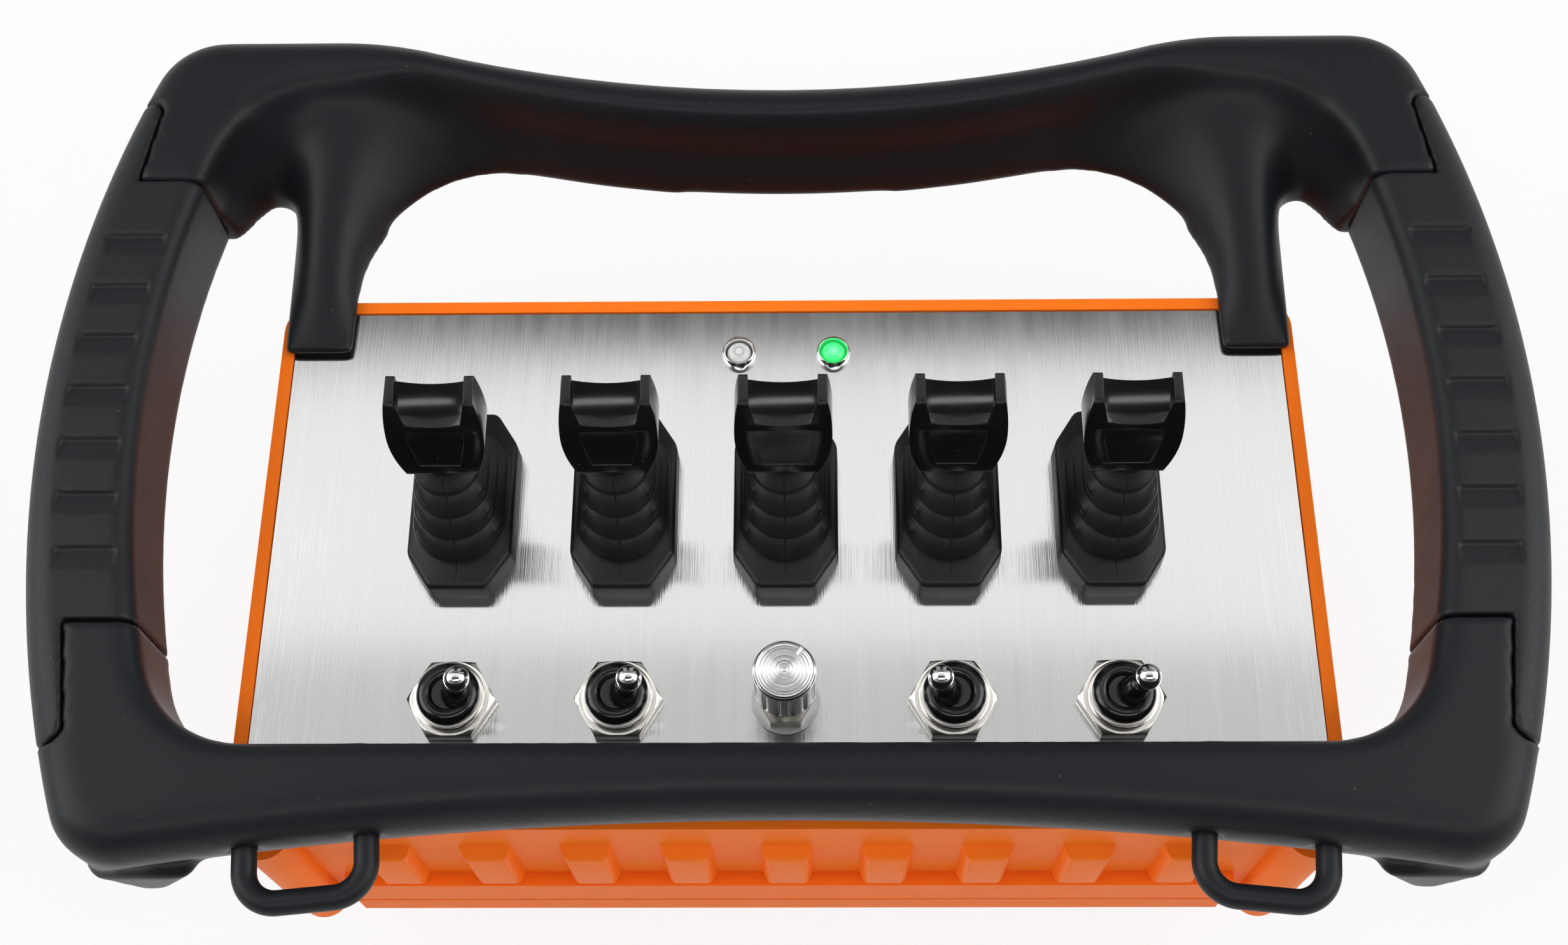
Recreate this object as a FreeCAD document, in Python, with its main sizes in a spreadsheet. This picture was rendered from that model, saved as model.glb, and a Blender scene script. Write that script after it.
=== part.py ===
import FreeCAD, Part
import math
import os
import re

import Sketcher

# Wireless crane remote control worn at the waist: an orange two-part case, a metal control panel, and a
# moulded handle ring round it. Millimetres, +X to the operator's right, +Y away from the operator, +Z up.
# The origin is the centre of the flat base that the case rests on.

V = FreeCAD.Vector
doc = FreeCAD.newDocument("crane_remote")
dims = doc.addObject("Spreadsheet::Sheet", "dims")

# Driving dimensions: the name of the cell, its value, and what it measures.
SIZES = [
    ("case_width", 250, "case, left to right"),
    ("case_depth", 134, "case, front to rear"),
    ("case_height", 100, "base to the case's rim"),
    ("case_corner", 8, "corner radius of the case in plan"),
    ("wall", 3, "case wall"),
    ("split_height", 43, "base to the joint between the case halves"),
    ("seal_thick", 1.2, "case seal"),
    ("seal_width", 2.2, "case seal, across"),
    ("seal_inset", 0.4, "case seal, in from the wall"),
    ("flange_out", 3.2, "flange and pads, out from the wall"),
    ("flange_up", 14.5, "flange above the joint"),
    ("flange_down", 10, "flange below the joint"),
    ("tub_draw", 7, "base edge, in from the wall above it"),
    ("floor_thick", 5, "floor of the lower case"),
    ("base_round", 4, "rounding of the base edge"),
    ("column_radius", 6.5, "corner column"),
    ("column_inset", 7.5, "corner column's axis, in from the case side"),
    ("column_out", 1, "corner column's axis, in from the case front"),
    ("column_screw", 2, "column screw's axis, out from the case front"),
    ("column_drop", 5, "corner column's top below the rim"),
    ("flange_gap_x", 4, "flange's ends on the front, from the corner column"),
    ("flange_gap_y", 10, "flange's ends on the sides, from the corner column"),
    ("pad_pitch", 23, "wall pads, centre to centre"),
    ("pad_count", 9, "pads on the front and on the rear"),
    ("pad_width", 12, "wall pad"),
    ("pad_drop", 14.5, "top of the wall pads below the rim"),
    ("pad_slope", 24, "slope of a pad's sides, degrees"),
    ("ledge_width", 6.5, "ledge under the panel"),
    ("ledge_thick", 3, "ledge under the panel"),
    ("panel_thick", 2, "control panel"),
    ("panel_sunk", 0.5, "panel's face below the rim"),
    ("panel_gap", 0.3, "panel to the case's rim"),
    ("lever_pitch", 38, "levers and toggles, centre to centre"),
    ("lever_row", 10.4, "row of levers, from the case's middle"),
    ("switch_row", -37.5, "row of toggles and knob"),
    ("lamp_row", 51.9, "row of indicators"),
    ("lamp_offset", 11.6, "indicator from the middle"),
    ("boot_width", 24.7, "boot base"),
    ("boot_length", 45.3, "boot base"),
    ("boot_cut_x", 5.5, "boot base, cut corner across"),
    ("boot_cut_y", 8.6, "boot base, cut corner along"),
    ("boot_base_tall", 7.5, "boot base"),
    ("boot_bevel", 1.4, "boot base, bevelled top edge"),
    ("boot_top", 31, "boot neck above the panel"),
    ("boot_foot_half", 18.6, "lowest fold, half its length"),
    ("boot_neck_half", 7.2, "neck, half its length"),
    ("boot_foot_side", 11.2, "lowest fold, half its width"),
    ("boot_neck_side", 7, "neck, half its width"),
    ("boot_fold", 2.2, "depth of a fold"),
    ("boot_folds", 4, "number of folds"),
    ("boot_lap", 0.5, "lowest fold's start below the base's top"),
    ("boot_skin", 1.4, "rubber of the boot"),
    ("slot_width", 10, "panel slot under a boot"),
    ("slot_length", 26, "panel slot under a boot"),
    ("pivot_drop", 17, "lever pivot below the panel's face"),
    ("pin_radius", 2, "lever pivot pin"),
    ("pin_play", 0.05, "pivot pin in its bore, radius"),
    ("hub_radius", 5.5, "lever hub"),
    ("hub_width", 11, "lever hub, along the pin"),
    ("stem_radius", 3, "lever stem"),
    ("stem_top", 37.5, "top of the stem above the panel"),
    ("spigot_radius", 2, "stem's end in the paddle"),
    ("housing_width", 22, "lever housing"),
    ("housing_length", 42, "lever housing"),
    ("housing_tall", 34, "lever housing"),
    ("housing_wall", 3.5, "lever housing cheek"),
    ("housing_round", 2, "lever housing's corners"),
    ("paddle_width", 21.4, "paddle at its widest"),
    ("paddle_top_width", 18.8, "paddle across its ears"),
    ("paddle_foot_width", 15.6, "paddle at its foot"),
    ("paddle_foot", 32.2, "paddle's foot above the panel"),
    ("paddle_waist", 43, "paddle's widest place above the panel"),
    ("paddle_ridge", 54, "paddle's rear ridge above the panel"),
    ("paddle_ear_top", 53, "front of the ears above the panel"),
    ("paddle_front", 5.2, "paddle's foot in front of the stem"),
    ("paddle_ear_front", 1.8, "front of the ears behind the stem"),
    ("paddle_heel", 5.4, "back of the foot behind the stem"),
    ("paddle_back", 8.4, "paddle's ridge behind the stem"),
    ("paddle_low_bend", 21.6, "bow of the flanks below the widest place"),
    ("paddle_high_bend", 47.2, "bow of the flanks above the widest place"),
    ("paddle_soft", 0.7, "paddle's rounded edges"),
    ("paddle_ear", 1.9, "ear beside the finger dish"),
    ("dish_bend", 14, "bend of the finger dish"),
    ("dish_rim", 1.3, "rear rim of the dish below the ridge"),
    ("dish_front", 46.6, "front of the dish above the panel"),
    ("dish_start", 2, "front of the dish in front of the stem"),
    ("dish_neck", 5.9, "dish at its front edge, half its width"),
    ("dish_neck_from", 0.4, "narrow front of the dish, in front of the stem"),
    ("recess_deep", 0.7, "panel sunk in the paddle's front"),
    ("recess_high", 48, "sunk panel's top above the base panel"),
    ("recess_bend", 40.5, "sunk panel's widest place"),
    ("recess_low", 34.6, "sunk panel's foot"),
    ("recess_wide", 6.1, "sunk panel, half its width"),
    ("recess_foot", 4.3, "sunk panel's foot, half its width"),
    ("soft_gap", 0.3, "boot or rubber to what moves in it"),
    ("toggle_flat", 17.5, "boot nut, across flats"),
    ("toggle_nut_tall", 3.4, "boot nut's hexagon"),
    ("toggle_collar", 8, "boot nut's round collar, radius"),
    ("toggle_collar_top", 5.6, "boot nut's collar above the panel"),
    ("toggle_bush", 5.9, "switch bush, radius"),
    ("toggle_bush_top", 4.6, "switch bush above the panel"),
    ("toggle_ball", 2.9, "lever tip, radius"),
    ("toggle_tip", 17.5, "lever tip's centre above the panel"),
    ("toggle_lean", 11.5, "lever's lean at each end, degrees"),
    ("toggle_pivot", -1, "lever pivot above the panel"),
    ("toggle_seat", 2.5, "pivot ball, radius"),
    ("toggle_play", 0.1, "pivot ball in the bush, radius"),
    ("toggle_rod", 1.55, "lever rod, radius"),
    ("toggle_bush_lip", 1.7, "switch bush's rim"),
    ("toggle_flare", 0.5, "lever rod's flare to its tip"),
    ("toggle_boot_edge", 1.3, "rubber boot's rounded edge"),
    ("toggle_boot_skin", 0.9, "rubber sleeve at its top"),
    ("toggle_boot_radius", 7.2, "rubber boot's roll"),
    ("toggle_boot_top", 8.4, "rubber boot's roll above the panel"),
    ("toggle_sleeve_top", 13.6, "rubber sleeve above the panel"),
    ("toggle_body", 13, "switch body, each way"),
    ("toggle_body_tall", 17, "switch body"),
    ("knob_radius", 7, "knob over its flutes"),
    ("knob_face", 6.45, "knob's face, radius"),
    ("knob_top", 23, "knob's face above the panel"),
    ("knob_foot", 10.6, "knob's foot above the panel"),
    ("knob_flute", 0.55, "knob's flute, radius"),
    ("knob_flutes", 14, "number of flutes"),
    ("pointer_wide", 1, "knob's pointer"),
    ("pointer_long", 4.5, "knob's pointer"),
    ("pointer_deep", 0.5, "knob's pointer"),
    ("shaft_top", 19, "shaft's end in the knob above the panel"),
    ("shaft_deep", 7, "shaft's end below the panel's face"),
    ("knob_angle", 37.5, "pointer, clockwise from the rear, degrees"),
    ("shaft_radius", 3, "rotary control's shaft"),
    ("shaft_play", 0.05, "shaft in its bush, radius"),
    ("bush_radius", 4.7, "rotary control's bush"),
    ("bush_top", 7, "rotary control's bush above the panel"),
    ("washer_radius", 7.85, "rotary control's washer"),
    ("washer_thick", 0.8, "rotary control's washer"),
    ("pot_nut_flat", 12, "rotary control's nut, across flats"),
    ("pot_nut_thick", 2.6, "rotary control's nut"),
    ("pot_radius", 9, "rotary control's body"),
    ("pot_tall", 11, "rotary control's body"),
    ("lamp_radius", 4.1, "indicator's bezel"),
    ("lamp_proud", 2.4, "indicator's bezel above the panel"),
    ("lamp_lens", 3.1, "indicator's lens, radius"),
    ("lamp_gap", 0.3, "ring of shadow round the lens"),
    ("lamp_edge", 0.5, "bezel's rounded edge"),
    ("lamp_shoulder", 1.2, "lens's shoulder above the panel"),
    ("lamp_nut_flat", 10, "indicator's nut, across flats"),
    ("lamp_nut_thick", 2.4, "indicator's nut"),
    ("lamp_barrel", 3.7, "indicator's barrel, radius"),
    ("lamp_depth", 12, "indicator's barrel below the panel's face"),
    ("hole_gap", 0.2, "panel hole round a bush, radius"),
    ("ring_tall", 28.5, "handle ring, top to bottom"),
    ("ring_rear", 129.5, "handle's rear shoulders, from the middle"),
    ("ring_rear_half", 153.2, "handle's rear corners, half width"),
    ("ring_front", 81, "handle's front corners, from the middle"),
    ("ring_front_half", 151, "handle's front corners, half width"),
    ("ring_side_bend", 281.7, "bend of the handle's outer sides"),
    ("ring_front_bend", 990, "bend of the front bar's face"),
    ("ring_dip_in", 53.7, "rear bar's dip, in from the rear corner"),
    ("ring_dip_bend", 331, "bend of the rear bar's dip"),
    ("rear_wide", 16, "rear bar's top, front to rear"),
    ("side_rear_wide", 20.9, "handle's sides at their rear ends, width"),
    ("front_wide", 26.4, "front bar at its corners, front to rear"),
    ("side_front_wide", 17.4, "handle's sides at their front ends, width"),
    ("tuck_high", 18, "front bar's undercut, height"),
    ("tuck_deep", 4.5, "front bar's undercut at the rim"),
    ("tuck_clear", 12, "undercut's cutter in front of the bar"),
    ("hand_side_bend", 244, "bend of the hand space's sides"),
    ("hand_dip_in", 40.8, "rear bar's inner dip, in from the hand room's corner"),
    ("hand_dip_bend", 290, "bend of the rear bar's inner dip"),
    ("ring_rear_round", 18, "rear corners outside"),
    ("ring_front_round", 15, "front corners outside"),
    ("ring_dip_round", 85, "ends of the rear bar's dip"),
    ("hand_rear_round", 28, "rear corners inside"),
    ("hand_front_round", 25, "front corners inside"),
    ("ring_crown", 8.5, "outer top edge's rounding"),
    ("ring_edge", 4, "inner and lower edges' rounding"),
    ("leg_inner", 107, "rear leg's inner side, from the middle"),
    ("leg_outer", 124, "rear leg's outer side, from the middle"),
    ("leg_front", 52, "rear leg's toe, from the middle"),
    ("leg_flare", 36, "rear leg's flare into the rear bar"),
    ("leg_toe", 3, "rear leg's toe, height"),
    ("leg_round", 2.5, "rear leg's edges"),
    ("leg_root", 3, "root of the legs' face behind the rear bar's inner rim"),
    ("leg_lap", 6, "legs' lap in the rear bar"),
    ("leg_taper", 5, "leg's face at the rear bar, narrower on its outer side"),
    ("leg_heel", 88, "foot of the notch beside a leg"),
    ("notch_round", 6, "notch between a leg and the handle's side"),
    ("notch_out", 7.5, "notch's outer end, out from the leg"),
    ("notch_up", 6.5, "notch's outer end, behind its foot"),
    ("skirt_out", 10.9, "rear bar's foot in front of its inner rim"),
    ("skirt_bend", 344, "bend of the rear bar's foot"),
    ("skirt_end", 64, "skirt's end on the handle's sides"),
    ("skirt_corner", 45, "bend of the skirt's corner at its foot"),
    ("skirt_top_corner", 60, "bend of the skirt's corner at its top"),
    ("skirt_root", 4, "skirt's lap in the handle's sides"),
    ("skirt_clear", 12, "legs' skirt, its hidden rear corner beyond the leg's outer side"),
    ("skirt_lap", 3.7, "legs' skirt, its hidden rear corner's least lap into the ring"),
    ("grip_room", 4, "grip's cutting zone, out from a leg"),
    ("foot_drop", 18, "corner foot below the ring"),
    ("foot_top_near", 128, "corner foot's root, near side"),
    ("foot_top_far", 153, "corner foot's root, far side"),
    ("foot_low_near", 139.5, "corner foot's tip, near side"),
    ("foot_low_far", 150, "corner foot's tip, far side"),
    ("foot_top_front", 78.5, "corner foot's root, front"),
    ("foot_top_rear", 58, "corner foot's root, rear"),
    ("foot_low_front", 76, "corner foot's tip, front"),
    ("foot_low_rear", 66, "corner foot's tip, rear"),
    ("grip_rear", 85, "grip's rear seam"),
    ("grip_front", 27.2, "grip's front seam"),
    ("tongue_rear", 108.5, "grip's outer tongue, rear end"),
    ("tongue_front", 54.5, "grip's outer tongue, front end"),
    ("tongue_wide", 9.8, "how wide a grip's tongue is at the seam"),
    ("tongue_tip", 7.3, "how wide a grip's tongue is at its end"),
    ("tongue_round", 3.5, "grip's outer tongue, rounded ends"),
    ("zone_clear", 5, "grip's cutting zone above and below the ring"),
    ("seam_gap", 0.5, "open seam between grip and frame"),
    ("rail_skin_out", 7, "grip's skin outside its rail"),
    ("rail_skin_in", 5.5, "grip's skin inside its rail"),
    ("rail_skin_flat", 6, "grip's skin over and under its rail"),
    ("rail_rear", 96, "rail's rear end"),
    ("rail_front", 44, "rail's front end"),
    ("notch_pitch", 13.4, "grip notches, step"),
    ("notch_first", 69.9, "rearmost notch's rear edge"),
    ("notch_long", 5.8, "grip notch, along the grip"),
    ("notch_wide", 13.6, "grip notch, across"),
    ("notch_deep", 0.9, "grip notch"),
    ("notch_in", 3, "grip notch, in from the grip's inner side"),
    ("notch_count", 7, "notches in each grip"),
    ("loop_rod", 2.7, "strap loop's rod, radius"),
    ("loop_in", 50.8, "strap loop's middle, in from the ring's front corner"),
    ("loop_half", 12.9, "strap loop's legs, half their distance"),
    ("loop_bend", 7, "strap loop's bends"),
    ("loop_reach", 86.4, "strap loop's rung, from the middle"),
    ("loop_root", 66, "ends of the strap loop inside the front bar"),
    ("loop_rise", 18, "strap loop above the rim"),
    ("loop_turn", 5.5, "strap loop's turn to the bar's bend, degrees"),
    ("screw_radius", 2, "handle screw"),
    ("screw_head", 3.4, "handle screw's head, radius"),
    ("screw_head_tall", 2.6, "handle screw's head"),
    ("small_screw", 1.5, "case, cover and board screw, radius"),
    ("small_head", 2.6, "small screw's head, radius"),
    ("small_head_tall", 1.6, "small screw's head"),
    ("head_gap", 0.2, "small screw's head in its counterbore"),
    ("counterbore", 3, "counterbore of a case screw"),
    ("pilot_deep", 8, "screw hole in a board post"),
    ("screw_grip", 18, "case screw in the upper case"),
    ("handle_screw_x", 118, "rear handle screw from the middle, across"),
    ("handle_screw_y", 60.2, "rear handle screw from the middle, along"),
    ("handle_screw_side", 62, "front handle screw from the middle, across"),
    ("handle_screw_front", 60, "front handle screw from the middle, along"),
    ("handle_screw_up", 4, "handle screw in the handle"),
    ("bay_width", 110, "battery cover's recess"),
    ("bay_depth", 62, "battery cover's recess"),
    ("bay_lip", 6, "lip under the battery cover's long sides"),
    ("bay_end", 8, "lip under the battery cover's ends"),
    ("cover_thick", 2.5, "battery cover"),
    ("cover_gap", 0.3, "battery cover to its recess"),
    ("cover_screw", 50, "cover screw from the middle"),
    ("battery_width", 92, "battery pack"),
    ("battery_depth", 46, "battery pack"),
    ("battery_tall", 27, "battery pack"),
    ("battery_round", 5, "battery pack's corners"),
    ("board_width", 190, "main board"),
    ("board_depth", 96, "main board"),
    ("board_thick", 1.6, "main board"),
    ("board_height", 36, "underside of the main board"),
    ("post_radius", 4, "board post"),
    ("post_inset", 6, "board post from the board's edge"),
    ("radio_width", 40, "radio module"),
    ("radio_depth", 28, "radio module"),
    ("radio_tall", 6, "radio module"),
    ("radio_offset", 60, "radio module from the middle"),
    ("radio_row", 26, "radio module and antenna from the middle"),
    ("antenna_offset", 80, "antenna from the middle"),
    ("antenna_radius", 3, "antenna"),
    ("antenna_tall", 22, "antenna"),
]
for row, (alias, size, words) in enumerate(SIZES, start=1):
    dims.set(f"A{row}", words)
    dims.set(f"B{row}", str(size))
    dims.setAlias(f"B{row}", alias)
doc.recompute()
ALIASES = {alias for alias, size, words in SIZES}


def tied(expression):
    """An expression in the sheet's names, written as the document reads it."""
    def full(word):
        return "dims." + word.group() if word.group() in ALIASES else word.group()
    return re.sub(r"[a-z][a-z_0-9]*", full, expression)


def now(expression):
    """What an expression in the sheet's names comes to."""
    return float(dims.evalExpression(tied(expression)))


def bind(thing, prop, expression):
    thing.setExpression(prop, tied(expression))


def move(thing, x="0", y="0", z="0"):
    """Tie a thing's place to the sheet."""
    bind(thing, "Placement.Base.x", x)
    bind(thing, "Placement.Base.y", y)
    bind(thing, "Placement.Base.z", z)


# Sketches: every corner is held by its two distances from the sketch's origin, every arc by its radius.

def sketch_on(body, name, plane="XY_Plane", height="0"):
    sketch = body.newObject("Sketcher::SketchObject", name)
    support = next(feature for feature in body.Origin.OriginFeatures if feature.Role == plane)
    sketch.AttachmentSupport = [(support, "")]
    sketch.MapMode = "FlatFace"
    bind(sketch, "AttachmentOffset.Base.z", height)
    return sketch


def hold(sketch, curve, point, x, y):
    for kind, expression in (("DistanceX", x), ("DistanceY", y)):
        index = sketch.addConstraint(Sketcher.Constraint(kind, -1, 1, curve, point, now(expression)))
        bind(sketch, f"Constraints[{index}]", expression)


def outline(sketch, corners, closed=True):
    """Sides through corners (x, y), or (x, y, bend) where the side that follows is an arc: a bend above
    zero has its centre to the left of the way round, one below zero to the right."""
    places = [V(now(corner[0]), now(corner[1]), 0) for corner in corners]
    sides = len(corners) if closed else len(corners) - 1
    ends = []
    for i in range(sides):
        here, there = places[i], places[(i + 1) % len(places)]
        if len(corners[i]) == 2:
            curve = sketch.addGeometry(Part.LineSegment(here, there), False)
            ends.append((curve, 1, 2))
            continue
        bend = now(corners[i][2])
        chord = there - here
        across = V(-chord.y, chord.x, 0).normalize()
        rise = math.sqrt(bend * bend - chord.Length ** 2 / 4)
        centre = (here + there) * 0.5 + across * math.copysign(rise, bend)
        first, last = (here, there) if bend > 0 else (there, here)
        angles = [math.atan2(p.y - centre.y, p.x - centre.x) for p in (first, last)]
        circle_at = Part.Circle(centre, V(0, 0, 1), abs(bend))
        curve = sketch.addGeometry(Part.ArcOfCircle(circle_at, *angles), False)
        ends.append((curve, 1, 2) if bend > 0 else (curve, 2, 1))
        index = sketch.addConstraint(Sketcher.Constraint("Radius", curve, abs(bend)))
        bind(sketch, f"Constraints[{index}]", f"abs({corners[i][2]})")
    for i in range(sides if closed else sides - 1):
        following = ends[(i + 1) % len(ends)]
        sketch.addConstraint(Sketcher.Constraint("Coincident", ends[i][0], ends[i][2],
                                                 following[0], following[1]))
    for i, corner in enumerate(corners):
        curve, point = (ends[i][0], ends[i][1]) if i < len(ends) else (ends[-1][0], ends[-1][2])
        hold(sketch, curve, point, corner[0], corner[1])


def rectangle(sketch, left, right, low, high):
    outline(sketch, [(left, low), (right, low), (right, high), (left, high)])


def centred(sketch, width, depth, x="0", y="0"):
    rectangle(sketch, f"{x} - ({width})/2", f"{x} + ({width})/2", f"{y} - ({depth})/2", f"{y} + ({depth})/2")


def circle(sketch, x, y, radius):
    curve = sketch.addGeometry(Part.Circle(V(now(x), now(y), 0), V(0, 0, 1), now(radius)), False)
    hold(sketch, curve, 3, x, y)
    index = sketch.addConstraint(Sketcher.Constraint("Radius", curve, now(radius)))
    bind(sketch, f"Constraints[{index}]", radius)


# Features of a body.

def new_body(label):
    body = doc.addObject("PartDesign::Body", label)
    body.Label = label
    return body


def pad(body, sketch, length, reverse=False, both=False, slope=None):
    feature = body.newObject("PartDesign::Pad", sketch.Name + "_pad")
    feature.Profile = sketch
    bind(feature, "Length", length)
    feature.Reversed = reverse
    if both:
        feature.SideType = "Symmetric"
    if slope:
        bind(feature, "TaperAngle", slope)
    doc.recompute()
    return feature


def pocket(body, sketch, length=None, reverse=False, both=False):
    feature = body.newObject("PartDesign::Pocket", sketch.Name + "_pocket")
    feature.Profile = sketch
    feature.Reversed = reverse
    if length:
        bind(feature, "Length", length)
    else:
        feature.Type = "ThroughAll"
    if both:
        feature.SideType = "Symmetric"
    doc.recompute()
    return feature


def edges_of(shape, wanted):
    return [f"Edge{i}" for i, edge in enumerate(shape.Edges, start=1) if wanted(edge)]


def round_edges(body, wanted, radius, kind="Fillet"):
    """Round or bevel the edges of a body's last feature that answer to the test."""
    base = body.Tip
    names = edges_of(base.Shape, wanted)
    feature = body.newObject("PartDesign::" + kind, f"{body.Name}_{kind.lower()}_{len(body.Group)}")
    feature.Base = (base, names)
    bind(feature, "Radius" if kind == "Fillet" else "Size", radius)
    doc.recompute()
    return feature


def upright(edge):
    low, high = edge.BoundBox.ZMin, edge.BoundBox.ZMax
    return edge.BoundBox.XLength < 0.01 and edge.BoundBox.YLength < 0.01 and high - low > 0.1


def upright_at(x, y):
    """Upright edges at (x, y) and at its mirror image across the middle."""
    def test(edge):
        centre = edge.CenterOfMass
        return upright(edge) and abs(abs(centre.x) - now(x)) < 0.05 and abs(centre.y - now(y)) < 0.05
    return test


def turned(body, name, profile, plane="XZ_Plane"):
    """A solid turned about Z from half a profile of (radius, height) corners."""
    sketch = sketch_on(body, name, plane)
    outline(sketch, profile)
    feature = body.newObject("PartDesign::Revolution", name + "_turned")
    feature.Profile = sketch
    feature.ReferenceAxis = (sketch, ["V_Axis"])
    feature.Angle = 360
    doc.recompute()
    return feature


def row_of(body, features, count, length):
    """Repeat features along X."""
    pattern = body.newObject("PartDesign::LinearPattern", features[0].Name + "_row")
    pattern.Originals = features
    pattern.Direction = (next(f for f in body.Origin.OriginFeatures if f.Role == "X_Axis"), [""])
    pattern.Occurrences = count
    bind(pattern, "Length", length)
    body.Tip = pattern
    doc.recompute()
    return pattern


# Primitives and booleans.

def solid(kind, name, x="0", y="0", z="0", turn=None, **sizes):
    thing = doc.addObject("Part::" + kind, name)
    for prop, expression in sizes.items():
        bind(thing, prop, expression)
    if turn:
        thing.Placement = FreeCAD.Placement(V(), FreeCAD.Rotation(*turn))
    move(thing, x, y, z)
    return thing


def rod(name, radius, length, x="0", y="0", z="0", turn=None):
    return solid("Cylinder", name, x, y, z, turn, Radius=radius, Height=length)


def block(name, width, depth, tall, x="0", y="0", z="0"):
    """A box centred in plan on (x, y), standing on z."""
    return solid("Box", name, f"{x} - ({width})/2", f"{y} - ({depth})/2", z,
                 Length=width, Width=depth, Height=tall)


def hexagon(name, flats, tall, z):
    return solid("Prism", name, z=z, Circumradius=f"({flats})/sqrt(3)", Height=tall)


def fuse(label, *pieces):
    thing = doc.addObject("Part::MultiFuse", label)
    thing.Shapes = list(pieces)
    thing.Refine = True
    thing.Label = label
    return thing


def cut(label, base, tool):
    thing = doc.addObject("Part::Cut", label)
    thing.Base = base
    thing.Tool = tool
    thing.Refine = True
    thing.Label = label
    return thing


def common(label, base, tool):
    thing = doc.addObject("Part::Common", label)
    thing.Base = base
    thing.Tool = tool
    thing.Refine = True
    thing.Label = label
    return thing


def group(label, pieces):
    thing = doc.addObject("Part::Compound", label)
    thing.Links = list(pieces)
    thing.Label = label
    return thing


def copy_at(label, master, x="0", y="0", z="0", turn=0):
    """A copy of a master piece at a place, turned about Z."""
    thing = group(label, [master])
    thing.Placement = FreeCAD.Placement(V(), FreeCAD.Rotation(V(0, 0, 1), turn))
    move(thing, x, y, z)
    return thing


pieces = []


def keep(thing):
    pieces.append(thing)
    return thing


RIM = "case_height"
FACE = "case_height - panel_sunk"
UNDER = "case_height - panel_sunk - panel_thick"
HALF_W = "case_width/2"
HALF_D = "case_depth/2"
COLUMN_X = "case_width/2 - column_inset"
COLUMN_Y = "case_depth/2 - column_out"
COLUMN_SCREW = "case_depth/2 + column_screw"
CORNERS = [("", ""), ("-", ""), ("", "-"), ("-", "-")]
FLANGE_W = "case_width - 2*(column_inset + column_radius + flange_gap_x)"
FLANGE_D = "case_depth - 2*(column_out + column_radius + flange_gap_y)"
HANDLE_SCREWS = [("1", "handle_screw_x", "handle_screw_y"), ("2", "-handle_screw_x", "handle_screw_y"),
                 ("3", "handle_screw_side", "-handle_screw_front"),
                 ("4", "-handle_screw_side", "-handle_screw_front")]
LEVERS = (-2, -1, 0, 1, 2)
TOGGLES = (-2, -1, 1, 2)
TOGGLE_LEAN = {-2: 1, -1: 1, 1: -1, 2: 1}
HAND_REAR = "(ring_rear - rear_wide)"
HAND_FRONT = "(ring_front - front_wide)"
HAND_REAR_HALF = "(ring_rear_half - side_rear_wide)"
RING_DIP = "(ring_rear_half - ring_dip_in)"
HAND_DIP = f"({HAND_REAR_HALF} - hand_dip_in)"
SKIRT_BACK = (f"((leg_outer + skirt_clear + {HAND_REAR_HALF} + skirt_lap)/2"
              f" + abs(leg_outer + skirt_clear - {HAND_REAR_HALF} - skirt_lap)/2)")
LEG_DIP = f"(({HAND_DIP} + leg_inner - leg_lap)/2 - abs({HAND_DIP} - leg_inner + leg_lap)/2)"
HAND_FRONT_HALF = "(ring_front_half - side_front_wide)"
OUTER_SIDE = ("ring_side_bend", "ring_front_half", "ring_front", "ring_rear_half", "ring_rear")
INNER_SIDE = ("hand_side_bend", HAND_FRONT_HALF, HAND_FRONT, HAND_REAR_HALF, HAND_REAR)


def flange(body, name, height, length):
    """The flange that stands out from the walls between the corner columns, at one height."""
    for part, width, depth in (("front", FLANGE_W, "case_depth + 2*flange_out"),
                               ("side", "case_width + 2*flange_out", FLANGE_D)):
        sketch = sketch_on(body, f"{name}_{part}", height=height)
        centred(sketch, width, depth)
        pad(body, sketch, length)


def columns(body, name, height, length):
    sketch = sketch_on(body, name, height=height)
    for sx, sy in CORNERS:
        circle(sketch, f"{sx}({COLUMN_X})", f"{sy}({COLUMN_Y})", "column_radius")
    pad(body, sketch, length)


def column_holes(body, name, height, radius, length=None, reverse=False):
    sketch = sketch_on(body, name, height=height)
    for sx, sy in CORNERS:
        circle(sketch, f"{sx}({COLUMN_X})", f"{sy}({COLUMN_SCREW})", radius)
    pocket(body, sketch, length, reverse)


# Upper case: an orange moulding with pads between a flange and the rim, and a ledge for the panel.

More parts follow.
